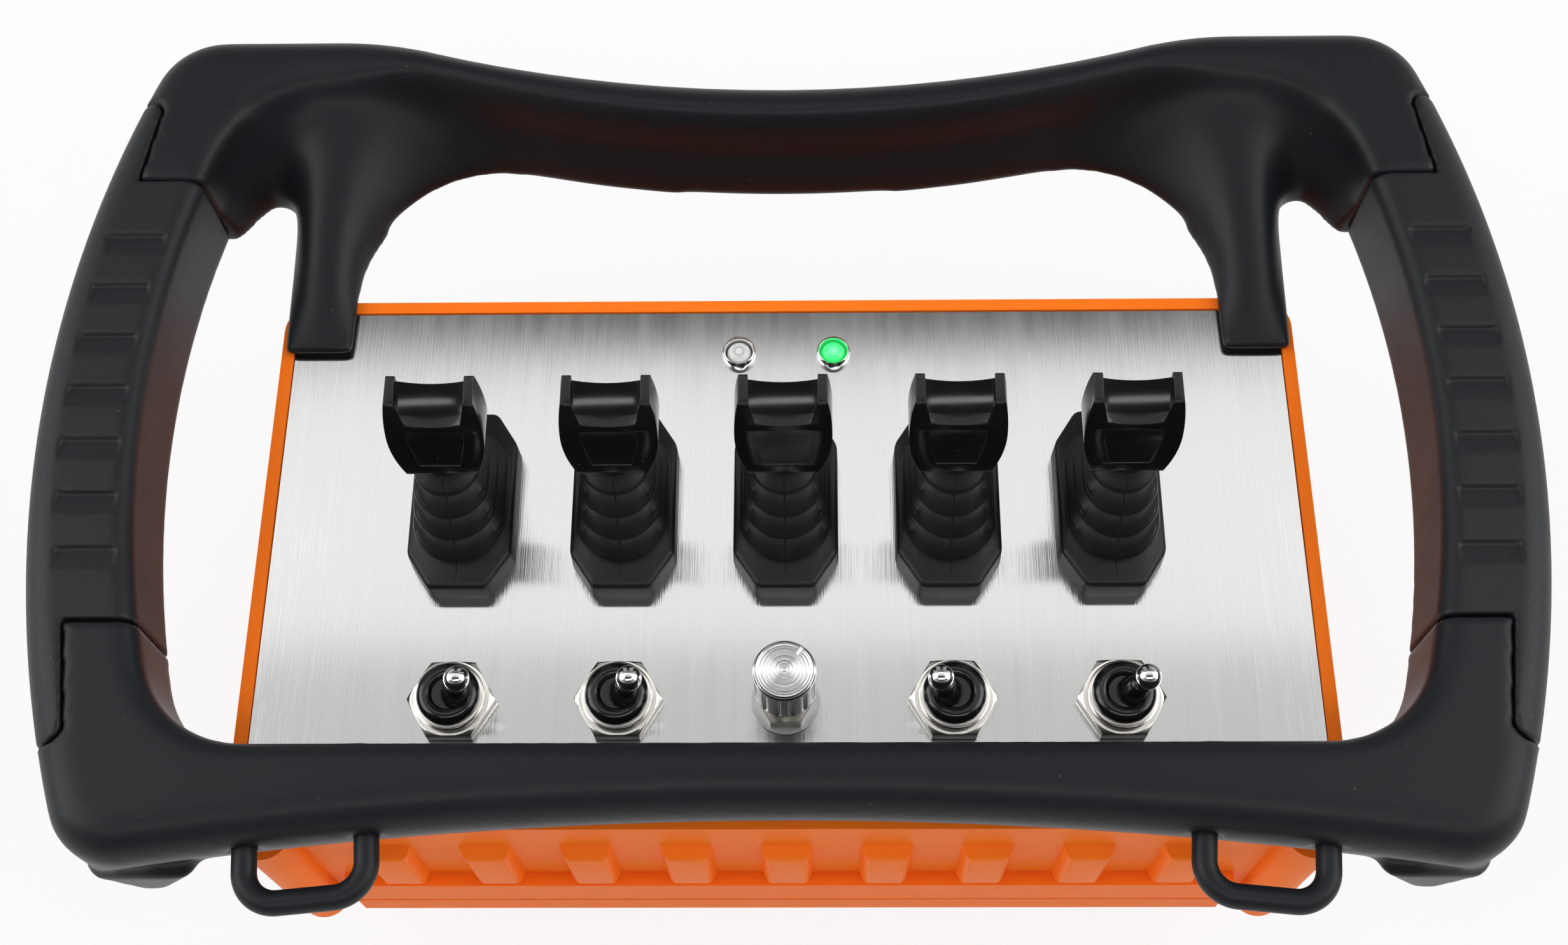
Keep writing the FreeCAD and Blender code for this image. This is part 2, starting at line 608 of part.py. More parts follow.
def make_upper_case():
    body = new_body("upper_case")
    low = "split_height + seal_thick/2"
    wall = sketch_on(body, "upper_wall", height=low)
    centred(wall, "case_width", "case_depth")
    pad(body, wall, f"{RIM} - ({low})")
    round_edges(body, upright, "case_corner")
    flange(body, "upper_flange", low, "flange_up")
    pad_low = f"{low} + flange_up"
    pad_high = f"{RIM} - pad_drop"
    span = "pad_pitch*(pad_count - 1)"
    for name, height, reverse in (("front", HALF_D, False), ("rear", f"-({HALF_D})", True)):
        sketch = sketch_on(body, f"pad_{name}", "XZ_Plane", height)
        first = f"-({span})/2"
        rectangle(sketch, f"{first} - pad_width/2", f"{first} + pad_width/2", pad_low, pad_high)
        feature = pad(body, sketch, "flange_out", reverse, slope="-pad_slope")
        row_of(body, [feature], int(now("pad_count")), span)
    for name, height, reverse in (("left", f"-({HALF_W})", True), ("right", HALF_W, False)):
        for step in (-1, 0, 1):
            sketch = sketch_on(body, f"pad_{name}_{step + 2}", "YZ_Plane", height)
            rectangle(sketch, f"{step}*pad_pitch - pad_width/2", f"{step}*pad_pitch + pad_width/2",
                      pad_low, pad_high)
            pad(body, sketch, "flange_out", reverse, slope="-pad_slope")
    columns(body, "upper_columns", low, f"{RIM} - column_drop - ({low})")
    inside = sketch_on(body, "upper_inside", height=low)
    centred(inside, "case_width - 2*wall", "case_depth - 2*wall")
    pocket(body, inside, f"{UNDER} - ledge_thick - ({low})", reverse=True)
    opening = sketch_on(body, "upper_opening", height=low)
    centred(opening, "case_width - 2*wall - 2*ledge_width", "case_depth - 2*wall - 2*ledge_width")
    pocket(body, opening, reverse=True)
    seat = sketch_on(body, "panel_seat", height=UNDER)
    centred(seat, "case_width - 2*wall", "case_depth - 2*wall")
    pocket(body, seat, reverse=True)
    column_holes(body, "upper_screw_holes", low, "small_screw", "screw_grip", True)
    screws = sketch_on(body, "upper_handle_holes", height=UNDER)
    for sx in ("", "-"):
        circle(screws, f"{sx}handle_screw_x", "handle_screw_y", "screw_radius")
        circle(screws, f"{sx}handle_screw_side", "-handle_screw_front", "screw_radius")
    pocket(body, screws)
    return keep(body)


# Lower case: a tub that draws in towards its base, with board posts and a battery bay in its floor.

def make_lower_case():
    body = new_body("lower_case")
    high = "split_height - seal_thick/2"
    base = sketch_on(body, "tub_base")
    centred(base, "case_width - 2*tub_draw", "case_depth - 2*tub_draw")
    shoulder = sketch_on(body, "tub_shoulder", height="split_height - flange_down")
    centred(shoulder, "case_width", "case_depth")
    tub = body.newObject("PartDesign::AdditiveLoft", "tub")
    tub.Profile = base
    tub.Sections = [shoulder]
    tub.Ruled = True
    doc.recompute()
    top = sketch_on(body, "tub_top", height="split_height - flange_down")
    centred(top, "case_width", "case_depth")
    pad(body, top, f"{high} - (split_height - flange_down)")
    round_edges(body, lambda edge: edge.BoundBox.ZLength > 2, "case_corner")
    round_edges(body, lambda edge: edge.BoundBox.ZMax < 0.01, "base_round")
    flange(body, "lower_flange", "split_height - flange_down", f"{high} - (split_height - flange_down)")
    columns(body, "lower_columns", "split_height - flange_down", f"{high} - (split_height - flange_down)")
    inside = sketch_on(body, "tub_inside", height="floor_thick")
    centred(inside, "case_width - 2*tub_draw - 2*wall", "case_depth - 2*tub_draw - 2*wall")
    pocket(body, inside, reverse=True)
    posts = sketch_on(body, "board_posts", height="floor_thick")
    for sx, sy in CORNERS:
        circle(posts, f"{sx}(board_width/2 - post_inset)", f"{sy}(board_depth/2 - post_inset)", "post_radius")
    pad(body, posts, "board_height - floor_thick")
    pilot = sketch_on(body, "board_pilots", height="board_height")
    for sx, sy in CORNERS:
        circle(pilot, f"{sx}(board_width/2 - post_inset)", f"{sy}(board_depth/2 - post_inset)", "small_screw")
    pocket(body, pilot, "pilot_deep")
    recess = sketch_on(body, "cover_recess")
    centred(recess, "bay_width", "bay_depth")
    pocket(body, recess, "cover_thick", reverse=True)
    bay = sketch_on(body, "battery_bay")
    centred(bay, "bay_width - 2*bay_end", "bay_depth - 2*bay_lip")
    pocket(body, bay, reverse=True)
    pilots = sketch_on(body, "cover_pilots")
    for sx in ("", "-"):
        circle(pilots, f"{sx}cover_screw", "0", "small_screw")
    pocket(body, pilots, "floor_thick", reverse=True)
    column_holes(body, "lower_screw_holes", "split_height - flange_down", "small_screw", reverse=True)
    column_holes(body, "lower_counterbores", "split_height - flange_down", "small_head + head_gap",
                 "counterbore", True)
    return keep(body)


def make_case_seal():
    """Cord seal between the two halves of the case, inside their screws."""
    body = new_body("case_seal")
    sketch = sketch_on(body, "seal_plan", height="split_height - seal_thick/2")
    centred(sketch, "case_width - 2*seal_inset", "case_depth - 2*seal_inset")
    centred(sketch, "case_width - 2*seal_inset - 2*seal_width", "case_depth - 2*seal_inset - 2*seal_width")
    pad(body, sketch, "seal_thick")
    outer, inner = "case_width/2 - seal_inset", "case_width/2 - seal_inset - seal_width"
    for side, radius in ((inner, "case_corner - seal_inset - seal_width"), (outer, "case_corner - seal_inset")):
        reach = now(side)
        round_edges(body, lambda edge: upright(edge) and abs(abs(edge.CenterOfMass.x) - reach) < 0.01, radius)
    return keep(body)


def make_panel():
    """Brushed sheet with a slot under each lever and a hole for each switch, knob and indicator."""
    body = new_body("control_panel")
    sheet = sketch_on(body, "panel_sheet", height=UNDER)
    centred(sheet, "case_width - 2*wall - 2*panel_gap", "case_depth - 2*wall - 2*panel_gap")
    pad(body, sheet, "panel_thick")
    holes = sketch_on(body, "panel_holes", height=FACE)
    for step in LEVERS:
        centred(holes, "slot_width", "slot_length", f"{step}*lever_pitch", "lever_row")
    for step in TOGGLES:
        circle(holes, f"{step}*lever_pitch", "switch_row", "toggle_bush + hole_gap")
    circle(holes, "0", "switch_row", "bush_radius + hole_gap")
    for sx in ("", "-"):
        circle(holes, f"{sx}lamp_offset", "lamp_row", "lamp_barrel + hole_gap")
        circle(holes, f"{sx}handle_screw_x", "handle_screw_y", "screw_radius")
        circle(holes, f"{sx}handle_screw_side", "-handle_screw_front", "screw_radius")
    pocket(body, holes)
    return keep(body)


# Handle: a ring moulded round the case. Its front bar lies on the case's front rim, two legs run from
# its rear bar to the rear corners, and its sides carry soft grips over inner rails.

def side_at(side, y):
    """How far from the middle a bent side of the handle lies at y: an arc between the side's two ends."""
    bend, front_half, front, rear_half, rear = side
    chord = f"sqrt(({rear} + {front})^2 + ({rear_half} - {front_half})^2)"
    rise = f"sqrt({bend}^2 - ({chord}/2)^2)"
    centre_x = f"(({rear_half} + {front_half})/2 - {rise}*({rear} + {front})/{chord})"
    centre_y = f"(({rear} - {front})/2 + {rise}*({rear_half} - {front_half})/{chord})"
    return f"{centre_x} + sqrt({bend}^2 - (({y}) - {centre_y})^2)"


def mirrored(right, bend):
    """An outline from its right half. The left half mirrors it, and the side across the middle bends."""
    left = [(f"-({here[0]})", here[1]) + before[2:] for before, here in zip(right, right[1:])]
    return [(f"-({right[0][0]})", right[0][1], bend)] + right + left[::-1]


def make_ring():
    body = new_body("handle_ring")
    plan = sketch_on(body, "ring_plan", height=RIM)
    outline(plan, [("-ring_front_half", "-ring_front", "-ring_front_bend"),
                   ("ring_front_half", "-ring_front", "ring_side_bend"),
                   ("ring_rear_half", "ring_rear"),
                   (RING_DIP, "ring_rear", "-ring_dip_bend"),
                   (f"-{RING_DIP}", "ring_rear"),
                   ("-ring_rear_half", "ring_rear", "ring_side_bend")])
    outline(plan, [(f"-{HAND_FRONT_HALF}", f"-{HAND_FRONT}"),
                   (HAND_FRONT_HALF, f"-{HAND_FRONT}", "hand_side_bend"),
                   (HAND_REAR_HALF, HAND_REAR),
                   (HAND_DIP, HAND_REAR, "-hand_dip_bend"),
                   (f"-{HAND_DIP}", HAND_REAR),
                   (f"-{HAND_REAR_HALF}", HAND_REAR, "hand_side_bend")])
    pad(body, plan, "ring_tall")
    for x, y, radius in (("ring_rear_half", "ring_rear", "ring_rear_round"),
                         ("ring_front_half", "-ring_front", "ring_front_round"),
                         (RING_DIP, "ring_rear", "ring_dip_round"),
                         (HAND_REAR_HALF, HAND_REAR, "hand_rear_round"),
                         (HAND_FRONT_HALF, f"-{HAND_FRONT}", "hand_front_round"),
                         (HAND_DIP, HAND_REAR, "ring_dip_round")):
        round_edges(body, upright_at(x, y), radius)

    def rim(height, outer):
        """A test for the edges round the ring's flat face at a height: its outer wire, or the inner one."""
        level = now(height)
        face = next(face for face in body.Tip.Shape.Faces
                    if face.BoundBox.ZLength < 0.01 and abs(face.CenterOfMass.z - level) < 0.01)
        edges = [edge for wire in face.Wires if wire.isSame(face.OuterWire) == outer for edge in wire.Edges]
        return lambda edge: any(edge.isSame(other) for other in edges)

    top = f"{RIM} + ring_tall"
    round_edges(body, rim(top, True), "ring_crown")
    round_edges(body, rim(top, False), "ring_edge")
    round_edges(body, rim(RIM, True), "ring_edge")
    round_edges(body, rim(RIM, False), "ring_edge")
    return body


def make_tuck():
    """Cutter for the undercut of the front bar's face, which follows the face's bend."""
    body = new_body("front_tuck")
    turned(body, "tuck_section", [("ring_front_bend", f"{RIM} + tuck_high"),
                                  ("ring_front_bend - tuck_clear", f"{RIM} + tuck_high"),
                                  ("ring_front_bend - tuck_clear", RIM),
                                  ("ring_front_bend + tuck_deep", RIM)])
    move(body, y="-ring_front - sqrt(ring_front_bend^2 - ring_front_half^2)")
    return body


def make_legs():
    """Both rear legs and the skirt between them: one face that slopes from the rear bar's inner rim to the
    toes on the panel's corners, with an arch between the legs and a notch beside each."""
    body = new_body("handle_legs")
    foot = sketch_on(body, "legs_foot", height=f"{RIM} + leg_toe")
    skirt = f"({HAND_REAR} - skirt_out)"
    edge = side_at(INNER_SIDE, "skirt_end")
    back = [(f"{edge} + skirt_root", "skirt_end"), (SKIRT_BACK, f"{HAND_REAR} + leg_lap"),
            (LEG_DIP, f"{HAND_REAR} + leg_lap", "-hand_dip_bend")]
    ahead = [("leg_inner - leg_flare", skirt, "-leg_flare"), ("leg_inner", f"{skirt} - leg_flare"),
             ("leg_inner", "leg_front"), ("leg_outer", "leg_front"), ("leg_outer", "leg_heel", "-notch_round"),
             ("leg_outer + notch_out", "leg_heel + notch_up", "-skirt_corner"), (edge, "skirt_end")]
    outline(foot, mirrored(ahead + back, "skirt_bend"))
    pad(body, foot, "leg_toe", reverse=True)
    head = sketch_on(body, "legs_head", height=f"{RIM} + ring_tall - ring_edge")
    root = f"{HAND_REAR} + leg_root"
    ahead = [(LEG_DIP, root), ("leg_inner - leg_round", root), ("leg_inner", root),
             ("leg_outer - leg_taper", root), ("leg_outer - leg_taper/2", root),
             ("leg_outer + leg_taper/2", HAND_REAR, "-skirt_top_corner"), (edge, "skirt_end")]
    outline(head, mirrored(ahead + back, "hand_dip_bend"))
    loft = body.newObject("PartDesign::AdditiveLoft", "legs_slope")
    loft.Profile = foot
    loft.Sections = [head]
    loft.Ruled = True
    doc.recompute()
    return body


def make_feet():
    """The tapered corner feet under the front of the ring."""
    feet = []
    for side, sx in (("right", ""), ("left", "-")):
        body = new_body(f"corner_foot_{side}")
        root = sketch_on(body, f"foot_root_{side}", height="case_height + ring_edge")
        rectangle(root, f"{sx}foot_top_near", f"{sx}foot_top_far", "-foot_top_front", "-foot_top_rear")
        tip = sketch_on(body, f"foot_tip_{side}", height="case_height - foot_drop")
        rectangle(tip, f"{sx}foot_low_near", f"{sx}foot_low_far", "-foot_low_front", "-foot_low_rear")
        loft = body.newObject("PartDesign::AdditiveLoft", f"foot_{side}")
        loft.Profile = root
        loft.Sections = [tip]
        loft.Ruled = True
        doc.recompute()
        round_edges(body, lambda edge: edge.BoundBox.ZLength > 5, "ring_edge")
        feet.append(body)
    return feet


def grip_zone(name, sx, gap):
    """What a grip takes of the ring: its length between the seams and a tongue along its outer side."""
    body = new_body(name)
    plan = sketch_on(body, name + "_plan", height="case_height - zone_clear")
    inner, outer = f"{sx}(leg_outer + grip_room)", f"{sx}(ring_front_half + ring_rear_half)"

    def along(y, width):
        return f"{sx}({side_at(OUTER_SIDE, y)} - {width} - {gap})"

    rear_tip, front_tip = along("tongue_rear", "tongue_tip"), along("-tongue_front", "tongue_tip")
    outline(plan, [(outer, f"-tongue_front - {gap}"),
                   (outer, f"tongue_rear + {gap}"),
                   (rear_tip, f"tongue_rear + {gap}"),
                   (along("grip_rear", "tongue_wide"), f"grip_rear + {gap}"),
                   (inner, f"grip_rear + {gap}"),
                   (inner, f"-grip_front - {gap}"),
                   (along("-grip_front", "tongue_wide"), f"-grip_front - {gap}"),
                   (front_tip, f"-tongue_front - {gap}")])
    pad(body, plan, "ring_tall + 2*zone_clear")
    tips = now(rear_tip), now(front_tip)
    round_edges(body, lambda edge: upright(edge) and min(abs(edge.CenterOfMass.x - tip) for tip in tips) < 0.1,
                "tongue_round")
    return body


def make_rail(name, sx):
    """The frame's rail inside a grip."""
    body = new_body(name)
    plan = sketch_on(body, name + "_plan", height="case_height + rail_skin_flat")
    turn = "" if sx == "" else "-"
    near = [f"{sx}({side_at(INNER_SIDE, y)} + rail_skin_in)" for y in ("-rail_front", "rail_rear")]
    far = [f"{sx}({side_at(OUTER_SIDE, y)} - rail_skin_out)" for y in ("-rail_front", "rail_rear")]
    against = "-" if sx == "" else ""
    outline(plan, [(near[0], "-rail_front"),
                   (far[0], "-rail_front", f"{turn}(ring_side_bend - rail_skin_out)"),
                   (far[1], "rail_rear"),
                   (near[1], "rail_rear", f"{against}(hand_side_bend + rail_skin_in)")])
    pad(body, plan, "ring_tall - 2*rail_skin_flat")
    return body


def make_notches(name, sx):
    """Cutters for the row of shallow notches in the top of a grip."""
    cutters = []
    for step in range(int(now("notch_count"))):
        y = f"notch_first - notch_long/2 - {step}*notch_pitch"
        near = side_at(INNER_SIDE, y)
        cutters.append(block(f"{name}_{step + 1}", "notch_wide", "notch_long", "2*notch_deep",
                             f"{sx}({near} + notch_in + notch_wide/2)", y,
                             "case_height + ring_tall - notch_deep"))
    return group(name, cutters)


def make_loop(name, sx):
    """A strap loop: a rod bent to a U, its ends moulded into the front bar."""
    body = new_body(name)
    path = sketch_on(body, name + "_path", height=f"{RIM} + loop_rise")
    reach, root = "-(loop_reach)", "-(loop_root)"
    outline(path, [("-loop_half", root), ("-loop_half", f"{reach} + loop_bend", "loop_bend"),
                   ("-loop_half + loop_bend", reach), ("loop_half - loop_bend", reach, "loop_bend"),
                   ("loop_half", f"{reach} + loop_bend"), ("loop_half", root)], closed=False)
    section = sketch_on(body, name + "_section", "XZ_Plane", "loop_root")
    circle(section, "-loop_half", f"{RIM} + loop_rise", "loop_rod")
    pipe = body.newObject("PartDesign::AdditivePipe", name + "_rod")
    pipe.Profile = section
    pipe.Spine = path
    doc.recompute()
    turn = now("loop_turn") * (1 if sx == "-" else -1)
    body.Placement = FreeCAD.Placement(V(), FreeCAD.Rotation(V(0, 0, 1), turn))
    move(body, f"{sx}(ring_front_half - loop_in + loop_reach*sin(loop_turn))",
         "-loop_reach*(1 - cos(loop_turn))")
    return keep(body)


def make_handle():
    ring = cut("handle_ring_tucked", make_ring(), make_tuck())
    legs = make_legs()
    feet = make_feet()
    loops = [make_loop("strap_loop_left", "-"), make_loop("strap_loop_right", "")]
    rails = [make_rail("rail_left", "-"), make_rail("rail_right", "")]
    open_zones = fuse("grip_openings", grip_zone("opening_left", "-", "seam_gap"),
                      grip_zone("opening_right", "", "seam_gap"))
    moulding = cut("handle_moulding", fuse("handle_whole", ring, legs, *feet), open_zones)
    screws = group("handle_screw_holes", [
        rod(f"handle_hole_{name}", "screw_radius", "handle_screw_up", x, y, RIM)
        for name, x, y in HANDLE_SCREWS])
    sockets = group("loop_sockets", loops)
    keep(cut("handle_frame", cut("handle_bored", fuse("handle_railed", moulding, *rails), screws), sockets))
    for side, sx, rail in (("left", "-", rails[0]), ("right", "", rails[1])):
        sleeve = common(f"sleeve_{side}", ring, grip_zone(f"grip_zone_{side}", sx, "0"))
        hollow = cut(f"hollow_sleeve_{side}", sleeve, rail)
        keep(cut(f"grip_{side}", hollow, make_notches(f"notches_{side}", sx)))


# Levers: each paddle sits on a steel stem that rocks fore and aft on a pin in a housing under the panel.

def make_lever_housing():
    body = new_body("housing_master")
    shell = sketch_on(body, "housing_plan", height="-panel_thick - housing_tall")
    centred(shell, "housing_width", "housing_length")
    pad(body, shell, "housing_tall")
    round_edges(body, upright, "housing_round")
    hollow = sketch_on(body, "housing_hollow", height="-panel_thick")
    centred(hollow, "housing_width - 2*housing_wall", "housing_length - 2*housing_wall")
    pocket(body, hollow, "housing_tall - housing_wall")
    bore = sketch_on(body, "housing_bore", "YZ_Plane")
    circle(bore, "0", "-pivot_drop", "pin_radius")
    pocket(body, bore, both=True)
    return body


def make_stem():
    across = (V(0, 1, 0), 90)
    hub = rod("stem_hub", "hub_radius", "hub_width", "-hub_width/2", "0", "-pivot_drop", across)
    shank = rod("stem_shank", "stem_radius", "paddle_foot + pivot_drop", z="-pivot_drop")
    spigot = rod("stem_spigot", "spigot_radius", "stem_top + pivot_drop", z="-pivot_drop")
    bore = rod("stem_bore", "pin_radius + pin_play", "2*hub_width", "-hub_width", "0", "-pivot_drop", across)
    return cut("stem_master", fuse("stem_whole", hub, shank, spigot), bore)


def make_paddle():
    """A paddle: a leaning side profile with bowed flanks, a finger dish between two ears on top, and a
    shallow panel sunk in its front."""
    body = new_body("paddle_blank")
    side = sketch_on(body, "paddle_side", "YZ_Plane")
    outline(side, [("-paddle_front", "paddle_foot"),
                   ("paddle_heel", "paddle_foot"),
                   ("paddle_back", "paddle_ridge - paddle_soft"),
                   ("paddle_back - paddle_soft", "paddle_ridge"),
                   ("paddle_ear_front", "paddle_ear_top")])
    pad(body, side, "paddle_width", both=True)
    flanks = sketch_on(body, "paddle_flanks", "XZ_Plane")
    for sx in ("", "-"):
        outline(flanks, [(f"{sx}paddle_foot_width/2", "paddle_foot", f"{sx}paddle_low_bend"),
                         (f"{sx}paddle_width/2", "paddle_waist", f"{sx}paddle_high_bend"),
                         (f"{sx}paddle_top_width/2", "paddle_ridge"),
                         (f"{sx}paddle_width", "paddle_ridge"),
                         (f"{sx}paddle_width", "paddle_foot")])
    pocket(body, flanks, both=True)
    foot, sides = now("paddle_foot"), now("paddle_foot_width/2")
    round_edges(body, lambda edge: abs(edge.CenterOfMass.x) > sides and edge.BoundBox.ZMax > foot,
                "paddle_soft")
    socket = sketch_on(body, "paddle_socket", height="paddle_foot")
    circle(socket, "0", "0", "spigot_radius")
    pocket(body, socket, "stem_top - paddle_foot", reverse=True)
    dished = cut("paddle_dished", body, make_dish())
    return cut("paddle_master", dished, make_recess())


def make_dish():
    """The finger dish: a hollow bent from the paddle's ridge to its front, drawn in at the front edge."""
    hollow = new_body("dish_hollow")
    side = sketch_on(hollow, "dish_side", "YZ_Plane")
    clear = "paddle_ridge + dish_rim"
    outline(side, [("-dish_start", "dish_front", "dish_bend"),
                   ("paddle_back + paddle_soft", "paddle_ridge - dish_rim"),
                   ("paddle_back + paddle_soft", clear),
                   ("-dish_start", clear)])
    pad(hollow, side, "paddle_width", both=True)
    limits = new_body("dish_limits")
    plan = sketch_on(limits, "dish_plan", height="paddle_foot")
    half = "(paddle_top_width/2 - paddle_ear)"
    outline(plan, [("-dish_neck", "-dish_start"), ("dish_neck", "-dish_start"),
                   ("dish_neck", "-dish_neck_from"), (half, "paddle_ear_front"),
                   (half, "2*paddle_back"), (f"-{half}", "2*paddle_back"),
                   (f"-{half}", "paddle_ear_front"), ("-dish_neck", "-dish_neck_from")])
    pad(limits, plan, "paddle_ridge - paddle_foot + dish_rim")
    return common("dish", hollow, limits)


def make_recess():
    """The sunk panel: a slice under the paddle's leaning front, as wide as the panel's outline."""
    def front_at(height):
        lean = "(paddle_front + paddle_ear_front)/(paddle_ear_top - paddle_foot)"
        return f"-paddle_front + ({height} - paddle_foot)*{lean}"

    layer = new_body("recess_layer")
    side = sketch_on(layer, "recess_side", "YZ_Plane")
    low, high = front_at("recess_low"), front_at("recess_high")
    outline(side, [(f"{low} - recess_deep", "recess_low"), (f"{low} + recess_deep", "recess_low"),
                   (f"{high} + recess_deep", "recess_high"), (f"{high} - recess_deep", "recess_high")])
    pad(layer, side, "paddle_width", both=True)
    limits = new_body("recess_limits")
    front = sketch_on(limits, "recess_front", "XZ_Plane")
    outline(front, [("-recess_foot", "recess_low"), ("recess_foot", "recess_low"),
                    ("recess_wide", "recess_bend"), ("dish_neck", "recess_high"),
                    ("-dish_neck", "recess_high"), ("-recess_wide", "recess_bend")])
    pad(limits, front, "4*paddle_front", both=True)
    return common("recess", layer, limits)


def make_boot():
    """A bellows boot: an octagonal base and four folds, shorter and narrower towards the neck."""
    body = new_body("boot_master")
    base = sketch_on(body, "boot_base")
    half_w, half_l = "boot_width/2", "boot_length/2"
    cut_w, cut_l = "(boot_width/2 - boot_cut_x)", "(boot_length/2 - boot_cut_y)"
    outline(base, [(f"-{cut_w}", f"-{half_l}"), (cut_w, f"-{half_l}"), (half_w, f"-{cut_l}"), (half_w, cut_l),
                   (cut_w, half_l), (f"-{cut_w}", half_l), (f"-{half_w}", cut_l), (f"-{half_w}", f"-{cut_l}")])
    pad(body, base, "boot_base_tall")
    top = now("boot_base_tall")
    round_edges(body, lambda edge: edge.BoundBox.ZMin > top - 0.01, "boot_bevel", "Chamfer")
    folds = int(now("boot_folds"))
    sections = []
    for step in range(2 * folds + 1):
        share = f"{step}/{2 * folds}"
        height = f"boot_base_tall - boot_lap + (boot_top - boot_base_tall + boot_lap)*{share}"
        out = "0" if step % 2 == 0 else "boot_fold"
        ring = sketch_on(body, f"boot_fold_{step}", height=height)
        rounded_bar(ring, f"boot_foot_side + (boot_neck_side - boot_foot_side)*{share} - boot_fold + {out}",
                    f"boot_foot_half + (boot_neck_half - boot_foot_half)*{share} - boot_fold + {out}")
        sections.append(ring)
    bellows = body.newObject("PartDesign::AdditiveLoft", "bellows")
    bellows.Profile = sections[0]
    bellows.Sections = sections[1:]
    bellows.Ruled = True
    doc.recompute()
    low = sketch_on(body, "boot_inside_low")
    rounded_bar(low, "boot_foot_side - boot_fold - boot_skin", "boot_foot_half - boot_fold - boot_skin")
    high = sketch_on(body, "boot_inside_high", height="boot_top - boot_skin")
    rounded_bar(high, "boot_neck_side - boot_fold - boot_skin", "boot_neck_half - boot_fold - boot_skin")
    inside = body.newObject("PartDesign::SubtractiveLoft", "boot_inside")
    inside.Profile = low
    inside.Sections = [high]
    inside.Ruled = True
    doc.recompute()
    neck = sketch_on(body, "boot_neck", height="boot_top")
    circle(neck, "0", "0", "stem_radius + soft_gap")
    pocket(body, neck, "2*boot_skin")
    return body


def rounded_bar(sketch, half_wide, half_long):
    """A bar with half-round ends, longer along the sketch's Y."""
    straight = f"(({half_long}) - ({half_wide}))"
    outline(sketch, [(f"({half_wide})", f"-{straight}"), (f"({half_wide})", straight, half_wide),
                     ("0", f"({half_long})", half_wide), (f"-({half_wide})", straight),
                     (f"-({half_wide})", f"-{straight}", half_wide), ("0", f"-({half_long})", half_wide)])


def make_levers():
    housing, stem, paddle, boot = make_lever_housing(), make_stem(), make_paddle(), make_boot()
    pin = rod("pin_master", "pin_radius", "housing_width", "-housing_width/2", "0", "-pivot_drop",
              (V(0, 1, 0), 90))
    pins = []
    for number, step in enumerate(LEVERS, start=1):
        place = (f"{step}*lever_pitch", "lever_row", FACE)
        keep(copy_at(f"lever_housing_{number}", housing, *place))
        keep(copy_at(f"lever_stem_{number}", stem, *place))
        keep(copy_at(f"lever_paddle_{number}", paddle, *place))
        keep(copy_at(f"lever_boot_{number}", boot, *place))
        pins.append(copy_at(f"pin_{number}", pin, *place))
    keep(group("lever_pins", pins))


# Toggles: a ball-tipped bat on a ball pivot in a threaded bush, sealed by a rubber half boot in a nut.

def make_switch():
    """A switch under the panel: its block and the threaded bush that comes up through the panel."""
    body = new_body("switch_master")
    block_plan = sketch_on(body, "switch_block", height="-panel_thick - toggle_body_tall")
    centred(block_plan, "toggle_body", "toggle_body")
    pad(body, block_plan, "toggle_body_tall")
    bush = sketch_on(body, "switch_bush", height="-panel_thick")
    circle(bush, "0", "0", "toggle_bush")
    pad(body, bush, "toggle_bush_top + panel_thick")
    bore = sketch_on(body, "switch_bore", "XZ_Plane")
    seat, mouth = "toggle_seat + toggle_play", "toggle_bush - toggle_bush_lip"
    outline(bore, [("0", "toggle_pivot - toggle_seat - toggle_play"),
                   (seat, "toggle_pivot - toggle_seat - toggle_play"), (seat, "toggle_pivot + toggle_seat/2"),
                   (mouth, "toggle_bush_top"), ("0", "toggle_bush_top")])
    groove = body.newObject("PartDesign::Groove", "switch_groove")
    groove.Profile = bore
    groove.ReferenceAxis = (bore, ["V_Axis"])
    groove.Angle = 360
    doc.recompute()
    return body


def make_boot_nut():
    collar = rod("nut_collar", "toggle_collar", "toggle_collar_top")
    flats = hexagon("nut_hexagon", "toggle_flat", "toggle_nut_tall", "0")
    return cut("nut_master", fuse("nut_whole", flats, collar),
               rod("nut_bore", "toggle_bush", "toggle_collar_top"))


def make_bat():
    """A toggle's bat about its pivot ball, upright."""
    body = new_body("bat_upright")
    tip, neck = "(toggle_tip - toggle_pivot)", "(toggle_rod + toggle_flare)"
    turned(body, "bat_profile",
           [("0", "-toggle_seat", "toggle_seat"), ("toggle_seat", "0", "toggle_seat"),
            ("toggle_rod", "sqrt(toggle_seat^2 - toggle_rod^2)"),
            (neck, f"{tip} - sqrt(toggle_ball^2 - {neck}^2)", "toggle_ball"),
            ("toggle_ball", tip, "toggle_ball"), ("0", f"{tip} + toggle_ball")])
    return body


def leaned(label, piece):
    """A piece tilted about Y by a toggle's lean, towards +X."""
    thing = group(label, [piece])
    thing.Placement = FreeCAD.Placement(V(), FreeCAD.Rotation(V(0, 1, 0), now("toggle_lean")))
    bind(thing, "Placement.Rotation.Angle", "toggle_lean")
    move(thing, z="toggle_pivot")
    return thing


